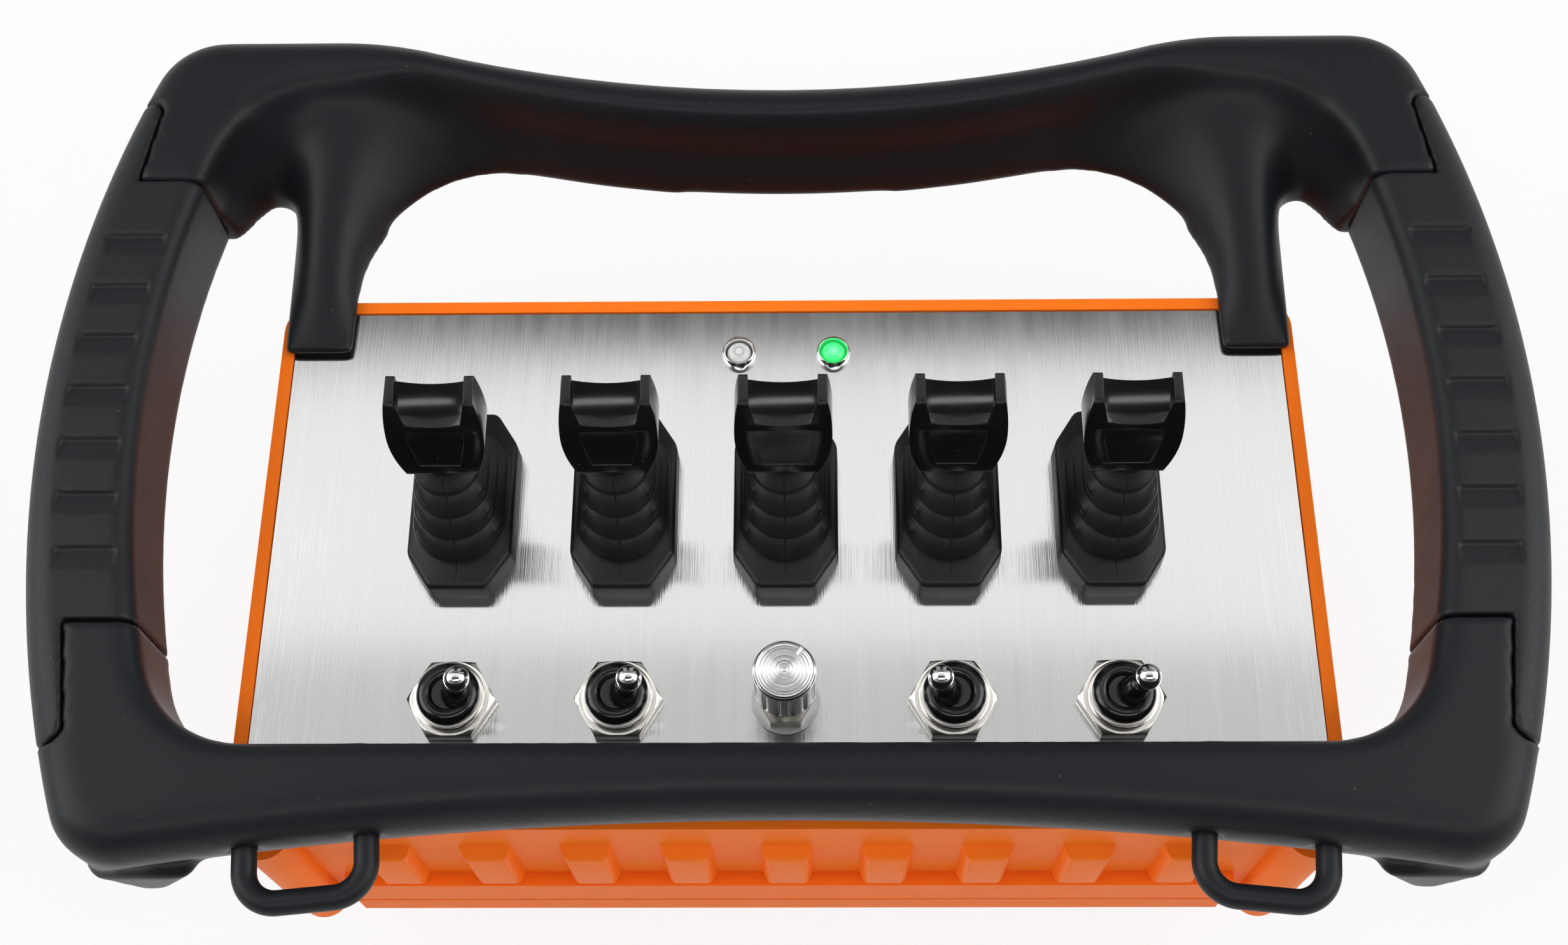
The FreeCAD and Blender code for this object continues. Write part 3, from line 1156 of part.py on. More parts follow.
def make_half_boot():
    """The rubber half boot at rest: a roll on the nut's collar and a sleeve that leans with the bat."""
    roll = new_body("half_boot_roll")
    low, high, edge = "toggle_collar_top", "toggle_boot_top", "toggle_boot_edge"
    turned(roll, "roll_profile",
           [("0", low), (f"toggle_boot_radius - {edge}", low, edge), ("toggle_boot_radius", f"{low} + {edge}"),
            ("toggle_boot_radius", f"{high} - {edge}", edge), (f"toggle_boot_radius - {edge}", high),
            ("0", high)])
    sleeve = new_body("half_boot_sleeve")
    bore = "toggle_rod + toggle_flare + soft_gap"
    turned(sleeve, "sleeve_profile",
           [("0", f"{low} - toggle_pivot + {edge}"),
            ("toggle_boot_radius - 2*toggle_boot_edge", f"{high} - toggle_pivot - {edge}"),
            (f"{bore} + toggle_boot_skin", "toggle_sleeve_top - toggle_pivot"),
            ("0", "toggle_sleeve_top - toggle_pivot")])
    way = rod("half_boot_bore", bore, "toggle_tip", z="0")
    return cut("half_boot_master", fuse("half_boot_whole", roll, leaned("sleeve_leaned", sleeve)),
               leaned("bore_leaned", way))


def make_toggles():
    switch, nut, boot, bat = make_switch(), make_boot_nut(), make_half_boot(), leaned("bat_master", make_bat())
    switches, nuts = [], []
    for number, step in enumerate(TOGGLES, start=1):
        place = (f"{step}*lever_pitch", "switch_row", FACE)
        turn = 0 if TOGGLE_LEAN[step] > 0 else 180
        switches.append(copy_at(f"switch_{number}", switch, *place))
        nuts.append(copy_at(f"boot_nut_{number}", nut, *place))
        keep(copy_at(f"toggle_boot_{number}", boot, *place, turn))
        keep(copy_at(f"toggle_lever_{number}", bat, *place, turn))
    keep(group("toggle_switches", switches))
    keep(group("toggle_nuts", nuts))


# Rotary control: a fluted aluminium knob on a shaft, held to the panel by a washer and nut.

def make_knob():
    body = new_body("knob")
    sketch = sketch_on(body, "knob_plan", height="knob_foot")
    circle(sketch, "0", "0", "knob_radius")
    pad(body, sketch, "knob_top - knob_foot")
    top = now("knob_top")
    round_edges(body, lambda edge: edge.BoundBox.ZMin > top - 0.01, "knob_radius - knob_face", "Chamfer")
    flute = sketch_on(body, "knob_flute", height="knob_foot")
    circle(flute, "knob_radius", "0", "knob_flute")
    first = pocket(body, flute, reverse=True)
    flutes = body.newObject("PartDesign::PolarPattern", "knob_flutes")
    flutes.Originals = [first]
    flutes.Axis = (next(f for f in body.Origin.OriginFeatures if f.Role == "Z_Axis"), [""])
    flutes.Angle = 360
    flutes.Occurrences = int(now("knob_flutes"))
    body.Tip = flutes
    doc.recompute()
    pointer = sketch_on(body, "knob_pointer", height="knob_top")
    rectangle(pointer, "-pointer_wide/2", "pointer_wide/2", "knob_face - pointer_long", "knob_face")
    pocket(body, pointer, "pointer_deep")
    bore = sketch_on(body, "knob_bore", height="knob_foot")
    circle(bore, "0", "0", "shaft_radius + shaft_play")
    pocket(body, bore, "shaft_top - knob_foot", reverse=True)
    body.Placement = FreeCAD.Placement(V(), FreeCAD.Rotation(V(0, 0, 1), -now("knob_angle")))
    move(body, "0", "switch_row", FACE)
    return keep(body)


def make_rotary_control():
    make_knob()
    place = ("0", "switch_row")
    can = rod("pot_can", "pot_radius", "pot_tall", z="-panel_thick - pot_tall")
    bush = rod("pot_bush", "bush_radius", "bush_top + panel_thick", z="-panel_thick")
    way = rod("pot_way", "shaft_radius + shaft_play", "bush_top + shaft_deep", z="-shaft_deep")
    body = cut("pot_body", fuse("pot_whole", can, bush), way)
    keep(rod("pot_shaft", "shaft_radius", "shaft_top + shaft_deep", *place, f"{FACE} - shaft_deep"))
    washer = cut("pot_washer", rod("washer_disc", "washer_radius", "washer_thick"),
                 rod("washer_bore", "bush_radius", "washer_thick"))
    nut = cut("pot_nut", hexagon("pot_hexagon", "pot_nut_flat", "pot_nut_thick", "washer_thick"),
              rod("pot_nut_bore", "bush_radius", "pot_nut_thick", z="washer_thick"))
    for piece in (body, washer, nut):
        move(piece, *place, FACE)
        keep(piece)


# Indicators: a turned bezel through the panel, a nut behind it, and a domed lens in its mouth.

def make_indicators():
    bezel = new_body("bezel_master")
    lip = "lamp_lens + lamp_gap"
    turned(bezel, "bezel_profile",
           [("lamp_lens", "-lamp_depth"), ("lamp_barrel", "-lamp_depth"), ("lamp_barrel", "0"),
            ("lamp_radius", "0"),
            ("lamp_radius", "lamp_proud - lamp_edge"), ("lamp_radius - lamp_edge", "lamp_proud"),
            (lip, "lamp_proud"), (lip, "-lamp_edge"), ("lamp_lens", "-lamp_edge")])
    lens = new_body("lens_master")
    rise, half = "(lamp_proud - lamp_shoulder)", "(lamp_lens - lamp_edge)"
    turned(lens, "lens_profile",
           [("0", "-lamp_depth/2"), ("lamp_lens", "-lamp_depth/2"), ("lamp_lens", "lamp_shoulder"),
            (half, "lamp_shoulder + lamp_edge", f"({half}^2 + {rise}^2)/(2*{rise})"),
            ("0", "lamp_proud + lamp_edge")])
    nut = cut("lamp_nut_master",
              hexagon("lamp_hexagon", "lamp_nut_flat", "lamp_nut_thick", "-panel_thick - lamp_nut_thick"),
              rod("lamp_nut_bore", "lamp_barrel", "lamp_nut_thick", z="-panel_thick - lamp_nut_thick"))
    bezels, nuts = [], []
    for name, sx in (("clear", "-"), ("green", "")):
        place = (f"{sx}lamp_offset", "lamp_row", FACE)
        bezels.append(copy_at(f"bezel_{name}", bezel, *place))
        nuts.append(copy_at(f"lamp_nut_{name}", nut, *place))
        keep(copy_at(f"lamp_lens_{name}", lens, *place))
    keep(group("lamp_bezels", bezels))
    keep(group("lamp_nuts", nuts))


# Inside: the battery behind its cover in the floor, and the main board with the radio on posts above it.

def make_battery():
    pack = new_body("battery_pack")
    plan = sketch_on(pack, "battery_plan", height="cover_thick")
    centred(plan, "battery_width", "battery_depth")
    pad(pack, plan, "battery_tall")
    round_edges(pack, upright, "battery_round")
    keep(pack)
    cover = new_body("battery_cover")
    plate = sketch_on(cover, "cover_plate", height="0")
    centred(plate, "bay_width - 2*cover_gap", "bay_depth - 2*cover_gap")
    pad(cover, plate, "cover_thick")
    for name, radius, length in (("cover_holes", "small_screw", None),
                                 ("cover_counterbores", "small_head + head_gap", "small_head_tall")):
        holes = sketch_on(cover, name, height="0")
        for sx in ("", "-"):
            circle(holes, f"{sx}cover_screw", "0", radius)
        pocket(cover, holes, length, reverse=True)
    keep(cover)


def make_board():
    board = new_body("main_board")
    plan = sketch_on(board, "board_plan", height="board_height")
    centred(plan, "board_width", "board_depth")
    for sx, sy in CORNERS:
        circle(plan, f"{sx}(board_width/2 - post_inset)", f"{sy}(board_depth/2 - post_inset)", "small_screw")
    pad(board, plan, "board_thick")
    keep(board)
    top = "board_height + board_thick"
    keep(block("radio_module", "radio_width", "radio_depth", "radio_tall", "radio_offset", "radio_row", top))
    keep(rod("antenna", "antenna_radius", "antenna_tall", "antenna_offset", "-radio_row", top))


# Screws, each kind one group.

def screws(label, places, radius, length, head, head_tall, start, heads_up=False):
    """Screws whose head's seat is at start, pointing up, or down where the heads are up."""
    made = []
    for number, (x, y) in enumerate(places, start=1):
        name = f"{label}_{number}"
        shank_at = f"{start} - ({length})" if heads_up else start
        head_at = start if heads_up else f"{start} - {head_tall}"
        made.append(fuse(name, rod(name + "_shank", radius, length, x, y, shank_at),
                         rod(name + "_head", head, head_tall, x, y, head_at)))
    return keep(group(label, made))


def make_screws():
    small = ("small_head", "small_head_tall")
    screws("case_screws", [(f"{sx}({COLUMN_X})", f"{sy}({COLUMN_SCREW})") for sx, sy in CORNERS], "small_screw",
           "flange_down - counterbore + seal_thick/2 + screw_grip", *small,
           "split_height - flange_down + counterbore")
    screws("handle_screws", [(x, y) for name, x, y in HANDLE_SCREWS], "screw_radius",
           "ledge_thick + panel_thick + panel_sunk + handle_screw_up", "screw_head", "screw_head_tall",
           f"{UNDER} - ledge_thick")
    screws("cover_screws", [("cover_screw", "0"), ("-cover_screw", "0")], "small_screw",
           "floor_thick - small_head_tall", *small, "small_head_tall")
    screws("board_screws", [(f"{sx}(board_width/2 - post_inset)", f"{sy}(board_depth/2 - post_inset)")
                            for sx, sy in CORNERS], "small_screw", "board_thick + pilot_deep", *small,
           "board_height + board_thick", heads_up=True)


def build():
    make_upper_case()
    make_lower_case()
    make_case_seal()
    make_panel()
    make_handle()
    make_levers()
    make_toggles()
    make_rotary_control()
    make_indicators()
    make_battery()
    make_board()
    make_screws()


build()
doc.recompute()
faults = [thing.Name for thing in doc.Objects if {"Invalid", "Error"} & set(thing.State)]
faults += [piece.Label for piece in pieces if piece.Shape.isNull() or not piece.Shape.isValid()]
if faults:
    raise RuntimeError("not built: " + ", ".join(faults))
os.makedirs("parts", exist_ok=True)
for piece in pieces:
    piece.Shape.exportStep(f"parts/{piece.Label}.step")
    print(piece.Label, len(piece.Shape.Solids), round(piece.Shape.Volume))
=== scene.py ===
import bmesh
import bpy
import math
from mathutils import Matrix, Vector
from mathutils.bvhtree import BVHTree


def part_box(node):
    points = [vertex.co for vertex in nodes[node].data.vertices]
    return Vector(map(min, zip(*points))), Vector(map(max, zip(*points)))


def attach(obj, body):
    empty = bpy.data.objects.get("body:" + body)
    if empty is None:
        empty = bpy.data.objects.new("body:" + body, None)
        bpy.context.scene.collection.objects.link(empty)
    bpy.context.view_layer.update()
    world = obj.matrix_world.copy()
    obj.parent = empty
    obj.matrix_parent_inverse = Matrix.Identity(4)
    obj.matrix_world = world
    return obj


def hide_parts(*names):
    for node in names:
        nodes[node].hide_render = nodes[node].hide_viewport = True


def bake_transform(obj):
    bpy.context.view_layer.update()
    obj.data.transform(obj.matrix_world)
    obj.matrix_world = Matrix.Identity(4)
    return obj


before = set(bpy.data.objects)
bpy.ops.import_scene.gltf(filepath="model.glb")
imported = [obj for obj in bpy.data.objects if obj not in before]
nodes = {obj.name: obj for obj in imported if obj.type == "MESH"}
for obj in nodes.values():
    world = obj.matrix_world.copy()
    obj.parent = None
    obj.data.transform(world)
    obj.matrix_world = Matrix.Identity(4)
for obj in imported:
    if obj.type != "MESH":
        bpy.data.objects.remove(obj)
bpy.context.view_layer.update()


# Lower case: the tub that holds the battery and the main board. It is injection-moulded in orange
# impact-proof plastic with a fine spark-eroded texture, and drawn in towards its base to leave the mould.

class Socket:
    """An output in a node tree. Arithmetic adds Math nodes, and node() adds any other kind."""

    def __init__(self, tree, output=None):
        self.tree = tree
        self.output = output

    def node(self, kind, settings=None, values=None, output=0):
        made = self.tree.nodes.new(kind)
        for name, setting in (settings or {}).items():
            if name == "stops":
                ramp = made.color_ramp
                ramp.elements[0].position, ramp.elements[0].color = setting[0]
                ramp.elements[1].position, ramp.elements[1].color = setting[-1]
                for place, colour in setting[1:-1]:
                    ramp.elements.new(place).color = colour
            else:
                setattr(made, name, setting)
        for name, value in (values or {}).items():
            if isinstance(value, Socket):
                self.tree.links.new(value.output, made.inputs[name])
            else:
                made.inputs[name].default_value = value
        return Socket(self.tree, made.outputs[output])

    def also(self, name):
        """Another output of the same node."""
        return Socket(self.tree, self.output.node.outputs[name])

    def maths(self, operation, first, second=0.0):
        return self.node("ShaderNodeMath", {"operation": operation}, {0: first, 1: second})

    def between(self, low, high):
        """0 below low, 1 above high, and a smooth step between them."""
        return self.node("ShaderNodeMapRange", {"interpolation_type": "SMOOTHSTEP"},
                         {"Value": self, "From Min": low, "From Max": high})

    def __add__(self, other):
        return self.maths("ADD", self, other)

    def __sub__(self, other):
        return self.maths("SUBTRACT", self, other)

    def __rsub__(self, other):
        return self.maths("SUBTRACT", other, self)

    def __mul__(self, other):
        return self.maths("MULTIPLY", self, other)

    def __truediv__(self, other):
        return self.maths("DIVIDE", self, other)

    __radd__ = __add__
    __rmul__ = __mul__


class Finish:
    """A new material with a Principled shader: plain inputs are set at once, varying ones are fed later."""

    def __init__(self, name, **plain):
        self.material = bpy.data.materials.new(name)
        self.material.use_nodes = True
        self.tree = self.material.node_tree
        self.shader = self.tree.nodes["Principled BSDF"]
        self.start = Socket(self.tree)
        for socket, value in plain.items():
            self.shader.inputs[socket.replace("_", " ")].default_value = value
        self.place = self.start.node("ShaderNodeTexCoord", output="Object")

    def feed(self, name, source):
        self.tree.links.new(source.output, self.shader.inputs[name])

    def noise(self, scale, detail=2.0, stretch=None):
        """Noise over the piece, in features per metre, drawn out along an axis by stretch."""
        at = self.place
        if stretch:
            at = self.start.node("ShaderNodeMapping", {}, {"Vector": at, "Scale": stretch})
        return self.start.node("ShaderNodeTexNoise", {}, {"Vector": at, "Scale": scale, "Detail": detail})

    def specks(self, scale, size, share):
        """Scattered specks of dust: 1 in the middle of a share of the cells of a given scale."""
        cell = self.start.node("ShaderNodeTexVoronoi", {}, {"Vector": self.place, "Scale": scale})
        pick = self.start.node("ShaderNodeSeparateColor", {}, {"Color": cell.also("Color")})
        return (1 - cell.between(0.4 * size, size)) * pick.between(1 - share, 1.01 - share)

    def blend(self, factor, first, second):
        return self.start.node("ShaderNodeMix", {"data_type": "RGBA"}, {0: factor, 6: first, 7: second}, 2)

    def bump(self, height, strength, depth):
        self.feed("Normal", self.start.node("ShaderNodeBump", {}, {
            "Height": height, "Strength": strength, "Distance": depth}))

    def on(self, *names):
        """Give the finish to carried-over solids."""
        for name in names:
            slots = nodes[name].data.materials
            slots.clear()
            slots.append(self.material)


orange = Finish("moulded_orange", IOR=1.40, Specular_IOR_Level=0.05)
cloud = orange.noise(9.0, 3.0)
tint = orange.blend(cloud, (0.95, 0.180, 0.013, 1), (1.00, 0.205, 0.017, 1))
dust = orange.specks(240.0, 0.06, 0.10) * 0.35
orange.feed("Base Color", orange.blend(dust, tint, (0.9, 0.45, 0.25, 1)))
orange.feed("Roughness", 0.36 + 0.10 * orange.noise(70.0))
orange.bump(orange.noise(2600.0), 0.10, 0.0002)
orange.on("lower_case", "battery_cover")


# Upper case: the orange top half, which holds the panel. Nine pads run along its front and its rear, between
# the rim and a flange where the halves meet, and the mould leaves the pads and the flange well rounded.

weld = 0.000001
pads = bmesh.new()
pads.from_mesh(nodes["upper_case"].data)
bmesh.ops.remove_doubles(pads, verts=pads.verts, dist=weld)
bmesh.ops.dissolve_limit(pads, angle_limit=math.radians(0.5), verts=pads.verts, edges=pads.edges)
case_low, case_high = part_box("upper_case")
flange_top = case_low[2] + 0.0145
pad_top = 0.1 - 0.0145
wall_face = case_high[1] - 0.0032
pads_end = 0.105
pad_round = 0.0013
slack = 0.0002


def on_pad(edge):
    """An outer edge of a pad, or of the flange under the pads, on the front or the rear."""
    inside = all(abs(vert.co.y) > wall_face - slack and abs(vert.co.x) < pads_end
                 and flange_top - slack < vert.co.z < pad_top + slack for vert in edge.verts)
    return inside and edge.is_convex and edge.calc_face_angle(0.0) > math.radians(20)


bmesh.ops.bevel(pads, geom=[edge for edge in pads.edges if on_pad(edge)], offset=pad_round,
                offset_type="OFFSET", affect="EDGES", segments=4, profile=0.5, material=-1, clamp_overlap=True)
for side in pads.faces:
    side.smooth = True
for edge in pads.edges:
    edge.smooth = edge.calc_face_angle(0.0) < math.radians(30)
pad_data = bpy.data.meshes.new("case_top")
pads.to_mesh(pad_data)
pads.free()
pad_data.materials.append(orange.material)
case_top = bpy.data.objects.new("case_top", pad_data)
bpy.context.scene.collection.objects.link(case_top)
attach(case_top, "case")
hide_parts("upper_case")


# Battery, board and radio: the works inside the tub. The battery is a shrink-wrapped block of cells, the
# board is green lacquered laminate on four screws, and the radio sits on it in a tinned steel can.

wrap = Finish("cell_wrap", IOR=1.48)
wrap.feed("Base Color", wrap.blend(wrap.noise(60.0), (0.012, 0.014, 0.020, 1), (0.020, 0.023, 0.032, 1)))
wrap.feed("Roughness", 0.30 + 0.12 * wrap.noise(120.0))
wrap.on("battery_pack")
lacquer = Finish("board_lacquer", IOR=1.5)
lacquer.feed("Base Color", lacquer.blend(
    lacquer.noise(90.0), (0.010, 0.050, 0.020, 1), (0.015, 0.072, 0.030, 1)))
lacquer.feed("Roughness", 0.34 + 0.12 * lacquer.noise(300.0))
lacquer.on("main_board")
steel = Finish("plain_steel", Metallic=1.0)
steel.feed("Base Color", steel.blend(steel.noise(300.0), (0.50, 0.50, 0.50, 1), (0.60, 0.60, 0.61, 1)))
steel.feed("Roughness", 0.28 + 0.16 * steel.noise(700.0))
steel.on("radio_module", "antenna", "board_screws", "case_screws", "handle_screws", "cover_screws")


# Case seal: a soft black rubber cord that keeps rain and dust out of the case. It is moulded as one loop and
# pinched between the two halves of the case where they meet.

rubber = Finish("black_rubber", IOR=1.45)
dull = rubber.blend(rubber.noise(40.0), (0.0050, 0.0051, 0.0056, 1), (0.0080, 0.0081, 0.0088, 1))
rubber.feed("Base Color", rubber.blend(rubber.specks(520.0, 0.10, 0.16) * 0.5, dull, (0.11, 0.11, 0.11, 1)))
rubber.feed("Roughness", 0.40 + 0.14 * rubber.noise(160.0))
rubber.bump(rubber.noise(2200.0), 0.22, 0.0002)
rubber.on("case_seal")


# Control panel: a flat sheet of brushed aluminium that carries the switches and the lamps. It is let into the
# rim of the case, and its grain runs from front to rear.

brushed = Finish("brushed_panel", Metallic=1.0)
grain = brushed.noise(5200.0, 3.0, (1.0, 0.004, 1.0))
broad = brushed.noise(260.0, 4.0, (1.0, 0.02, 1.0))
brushed.feed("Base Color", brushed.blend(
    0.6 * grain + 0.4 * broad, (0.60, 0.60, 0.595, 1), (0.69, 0.69, 0.685, 1)))
brushed.feed("Roughness", 0.07 + 0.07 * broad)
brushed.bump(grain, 0.15, 0.0002)
brushed.on("control_panel")


# Handle frame: the ring moulded round the case in black satin plastic, with two legs to the rear corners
# and a foot at each front corner. Screws from below hold it, and every edge is eased for the hands.

crisp_within = 0.0022
bow_slice = 0.004
bow_slices = 23


def ease(form, verts, passes):
    """Smooth some points of a form, each towards the middle of its neighbours."""
    for _ in range(passes):
        bmesh.ops.smooth_vert(form, verts=verts, factor=0.5, use_axis_x=True, use_axis_y=True, use_axis_z=True)


def cuts(form, place, normal):
    """Cut the faces of a form along a plane, and keep both sides."""
    bmesh.ops.bisect_plane(form, geom=form.verts[:] + form.edges[:] + form.faces[:], dist=weld,
                           plane_co=place, plane_no=normal)


def moulded(node, name, finish, step, passes, swell, soft_parts=(), against=(), shape=None, bow=None):
    """A copy of a solid with its edges eased, as a mould leaves them. Step is the mesh size, swell makes up
    what the easing takes off, and soft_parts pick points that are eased more, with rings of their neighbours.
    Where another solid, one of against, lies close, the edge stays crisp. Shape moves each point first.
    Bow gives how far a bent bar lies back at x: it is meshed straight, so that its edges get no steps."""
    copy = bmesh.new()
    copy.from_mesh(nodes[node].data)
    bmesh.ops.remove_doubles(copy, verts=copy.verts, dist=weld)
    if bow:
        for cut in range(-bow_slices, bow_slices + 1):
            cuts(copy, (cut * bow_slice, 0, 0), (1, 0, 0))
        bmesh.ops.triangulate(copy, faces=copy.faces)
        for vert in copy.verts:
            vert.co.y -= bow(vert.co.x)
    data = bpy.data.meshes.new(name)
    copy.to_mesh(data)
    copy.free()
    made = bpy.data.objects.new(name, data)
    bpy.context.scene.collection.objects.link(made)
    even = made.modifiers.new("even", "REMESH")
    even.mode = "VOXEL"
    even.voxel_size = step
    bpy.context.view_layer.update()
    form = bmesh.new()
    form.from_object(made, bpy.context.evaluated_depsgraph_get())
    made.modifiers.clear()
    if bow:
        for vert in form.verts:
            vert.co.y += bow(vert.co.x)
    if shape:
        form.normal_update()
        for vert in form.verts:
            vert.co = shape(vert)
        form.normal_update()
    for picks, rings, rounds in soft_parts:
        chosen = {vert for vert in form.verts if picks(vert)}
        for _ in range(rings):
            chosen |= {edge.other_vert(vert) for vert in chosen for edge in vert.link_edges}
        ease(form, list(chosen), rounds)
    close = []
    for other in against:
        beside = bmesh.new()
        beside.from_mesh(nodes[other].data)
        close.append(BVHTree.FromBMesh(beside))
        beside.free()
    free = [vert for vert in form.verts
            if not any(tree.find_nearest(vert.co, crisp_within)[0] for tree in close)]
    ease(form, form.verts, 1)
    ease(form, free, passes + 1)
    form.normal_update()
    for vert in form.verts:
        vert.co += swell * vert.normal
    for face in form.faces:
        face.smooth = True
    form.to_mesh(data)
    form.free()
    data.materials.clear()
    data.materials.append(finish.material)
    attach(made, "case")
    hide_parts(node)
    return made


satin = Finish("satin_black", IOR=1.30)
black = satin.blend(satin.noise(14.0), (0.0078, 0.0092, 0.0114, 1), (0.0102, 0.0118, 0.0144, 1))
satin.feed("Base Color", satin.blend(satin.specks(330.0, 0.07, 0.10) * 0.6, black, (0.20, 0.20, 0.18, 1)))
satin.feed("Roughness", 0.36 + 0.12 * satin.noise(45.0, 3.0))
satin.bump(satin.noise(2400.0), 0.10, 0.0002)
satin.on("strap_loop_left", "strap_loop_right")


def on_legs(vert):
    """Between the legs' feet and the rear bar's rim, where one smooth face runs down to the toes."""
    return 0.070 < abs(vert.co.x) < 0.137 and 0.0525 < vert.co.y < 0.1135 and 0.1022 < vert.co.z < 0.1235


def on_rim(vert):
    """The rounded rim along the inside of the rear bar."""
    return (abs(vert.co.x) < 0.132 and vert.co.y > 0.09 and vert.co.z > 0.118
            and vert.normal.y < -0.15 and vert.normal.z > 0.15)


def on_sill(vert):
    """The lower edge of the rear bar's inner face."""
    return abs(vert.co.x) < 0.1 and 0.088 < vert.co.y < 0.116 and vert.co.z < 0.1045


bar_radius = 0.29
bar_half = 0.0915
bar_front = 0.088
bar_middle = 0.0987
bar_bottom = 0.1005
bar_lean = 0.13


def bar_bow(x):
    """How far the rear bar's inner face lies back from its middle at x."""
    return bar_radius - math.sqrt(bar_radius ** 2 - min(abs(x), bar_half) ** 2)


def leaned(vert):
    """Lean the rear bar's inner face back towards its rim, between the legs."""
    place = vert.co
    if place.y < bar_front or place.z < bar_bottom:
        return place
    inner = bar_middle + bar_bow(place.x)
    near_face = min(1, max(0, (inner + 0.007 - place.y) / 0.006))
    off_legs = min(1, max(0, (0.112 - abs(place.x)) / 0.02))
    return Vector((place.x, place.y + near_face * off_legs * bar_lean * (place.z - bar_bottom), place.z))


ring = moulded("handle_frame", "handle_ring", satin, step=0.00108, passes=4, swell=0.00015,
               soft_parts=[(on_legs, 0, 200), (on_rim, 4, 32), (on_sill, 3, 60)],
               against=("grip_left", "grip_right"), shape=leaned, bow=bar_bow)


# Grips: soft black sleeves on the ring's sides, where the hands hold it. They are moulded in rubber and meet the
# ring along seams with tongues, and each has a row of finger recesses along its top.

soft = Finish("grip_rubber", IOR=1.35)
sooty = soft.blend(soft.noise(16.0), (0.0074, 0.0087, 0.0108, 1), (0.0100, 0.0115, 0.0140, 1))
soft.feed("Base Color", soft.blend(soft.specks(330.0, 0.07, 0.14) * 0.6, sooty, (0.20, 0.20, 0.18, 1)))
soft.feed("Roughness", 0.42 + 0.12 * soft.noise(45.0, 3.0))
soft.bump(soft.noise(2000.0), 0.14, 0.0002)
grip_top = 0.1285
recess_first = 0.0699
recess_pitch = 0.0134
recess_long = 0.0058
recess_deep = 0.0009
recess_lowest = 0.127
recess_slope = 1.15
recess_spans = {}
for point in nodes["grip_left"].data.vertices:
    if abs(point.co.z - (grip_top - recess_deep)) < 0.00002:
        step = round((recess_first - recess_long / 2 - point.co.y) / recess_pitch)
        recess_spans.setdefault(step, []).append(abs(point.co.x))


def ramped(vert):
    """Slope the floor of each finger recess from its deep rear edge up to the grip's top at its front edge."""
    place = vert.co
    step = round((recess_first - recess_long / 2 - place.y) / recess_pitch)
    along = (recess_first - step * recess_pitch - place.y) / recess_long
    across = recess_spans.get(step, [0])
    if 0 < along < 1.05 and place.z > recess_lowest and min(across) < abs(place.x) < max(across):
        return Vector((place.x, place.y, grip_top - recess_slope * recess_deep * max(0, 1 - along)))
    return place


for side in ("left", "right"):
    sleeve = moulded(f"grip_{side}", f"sleeve_{side}", soft, step=0.0006, passes=0, swell=0.0001,
                     against=["handle_frame"], shape=ramped)


# Lever switches: five switch bodies in black plastic under the panel. Each holds a steel stem on a cross pin, and
# the stem comes up through the panel to its paddle.

for number in range(1, 6):
    satin.on(f"lever_housing_{number}")
    steel.on(f"lever_stem_{number}")
steel.on("lever_pins")


# Lever boots: bellows moulded in matt black rubber. Each has an eight-sided base clamped to the panel and
# four folds that lap like shingles, and its neck grips the lever.

def bar_loop(mesh, half_wide, half_long, height):
    """A closed loop with half-round ends, in millimetres; returns its edges."""
    made = bmesh.ops.create_circle(mesh, cap_ends=False, radius=half_wide, segments=72)["verts"]
    bmesh.ops.translate(mesh, vec=(0, 0, height), verts=made)
    for side in (1, -1):
        half = [vert for vert in made if vert.co.y * side > 0.01]
        bmesh.ops.translate(mesh, vec=(0, side * (half_long - half_wide), 0), verts=half)
    return list({edge for vert in made for edge in vert.link_edges})


def settle(mesh, place, name, finish, crease=35.0):
    """Set a form drawn in millimetres down at its place, in metres, as a new object with smooth faces."""
    bmesh.ops.remove_doubles(mesh, verts=mesh.verts, dist=0.0005)
    bmesh.ops.recalc_face_normals(mesh, faces=mesh.faces)
    bmesh.ops.translate(mesh, vec=place, verts=mesh.verts)
    bmesh.ops.scale(mesh, vec=(0.001, 0.001, 0.001), verts=mesh.verts)
    for face in mesh.faces:
        face.smooth = True
    for edge in mesh.edges:
        edge.smooth = edge.calc_face_angle(0.0) < math.radians(crease)
    data = bpy.data.meshes.new(name)
    mesh.to_mesh(data)
    mesh.free()
    data.materials.append(finish.material)
    made = bpy.data.objects.new(name, data)
    bpy.context.scene.collection.objects.link(made)
    return made


face = 99.5
row = 10.4
pitch = 38.0
folded = Finish("bellows_rubber", IOR=1.36)
# The seam down the front middle of each boot, above its base, is cut in by bump with higher roughness, and its
# near-black colour is painted shade in the seam's groove.
across = folded.start.node("ShaderNodeSeparateXYZ", {}, {0: folded.place}, "X")
on_middle = 1 - across.maths("PINGPONG", across, pitch / 2000).between(0.00010, 0.00030)
on_front = 1 - across.also("Y").between((row - 2) / 1000, row / 1000)
above_base = across.also("Z").between((face + 7.0) / 1000, (face + 7.6) / 1000)
seam_shade = on_middle * on_front * above_base
coal = folded.blend(folded.noise(40.0), (0.0050, 0.0051, 0.0056, 1), (0.0080, 0.0081, 0.0088, 1))
dusty = folded.blend(folded.specks(520.0, 0.10, 0.16) * 0.5, coal, (0.11, 0.11, 0.11, 1))
folded.feed("Base Color", folded.blend(seam_shade, dusty, (0.0008, 0.0008, 0.0009, 1)))
folded.feed("Roughness", 0.36 + 0.12 * folded.noise(160.0) + 0.40 * seam_shade)
folded.bump(folded.noise(2200.0) - 4.0 * seam_shade, 0.22, 0.0002)
base_corners = [(6.85, 22.65), (12.35, 14.05), (12.35, -14.05), (6.85, -22.65),
                (-6.85, -22.65), (-12.35, -14.05), (-12.35, 14.05), (-6.85, 22.65)]
base_tall = 7.2
base_round = 1.3
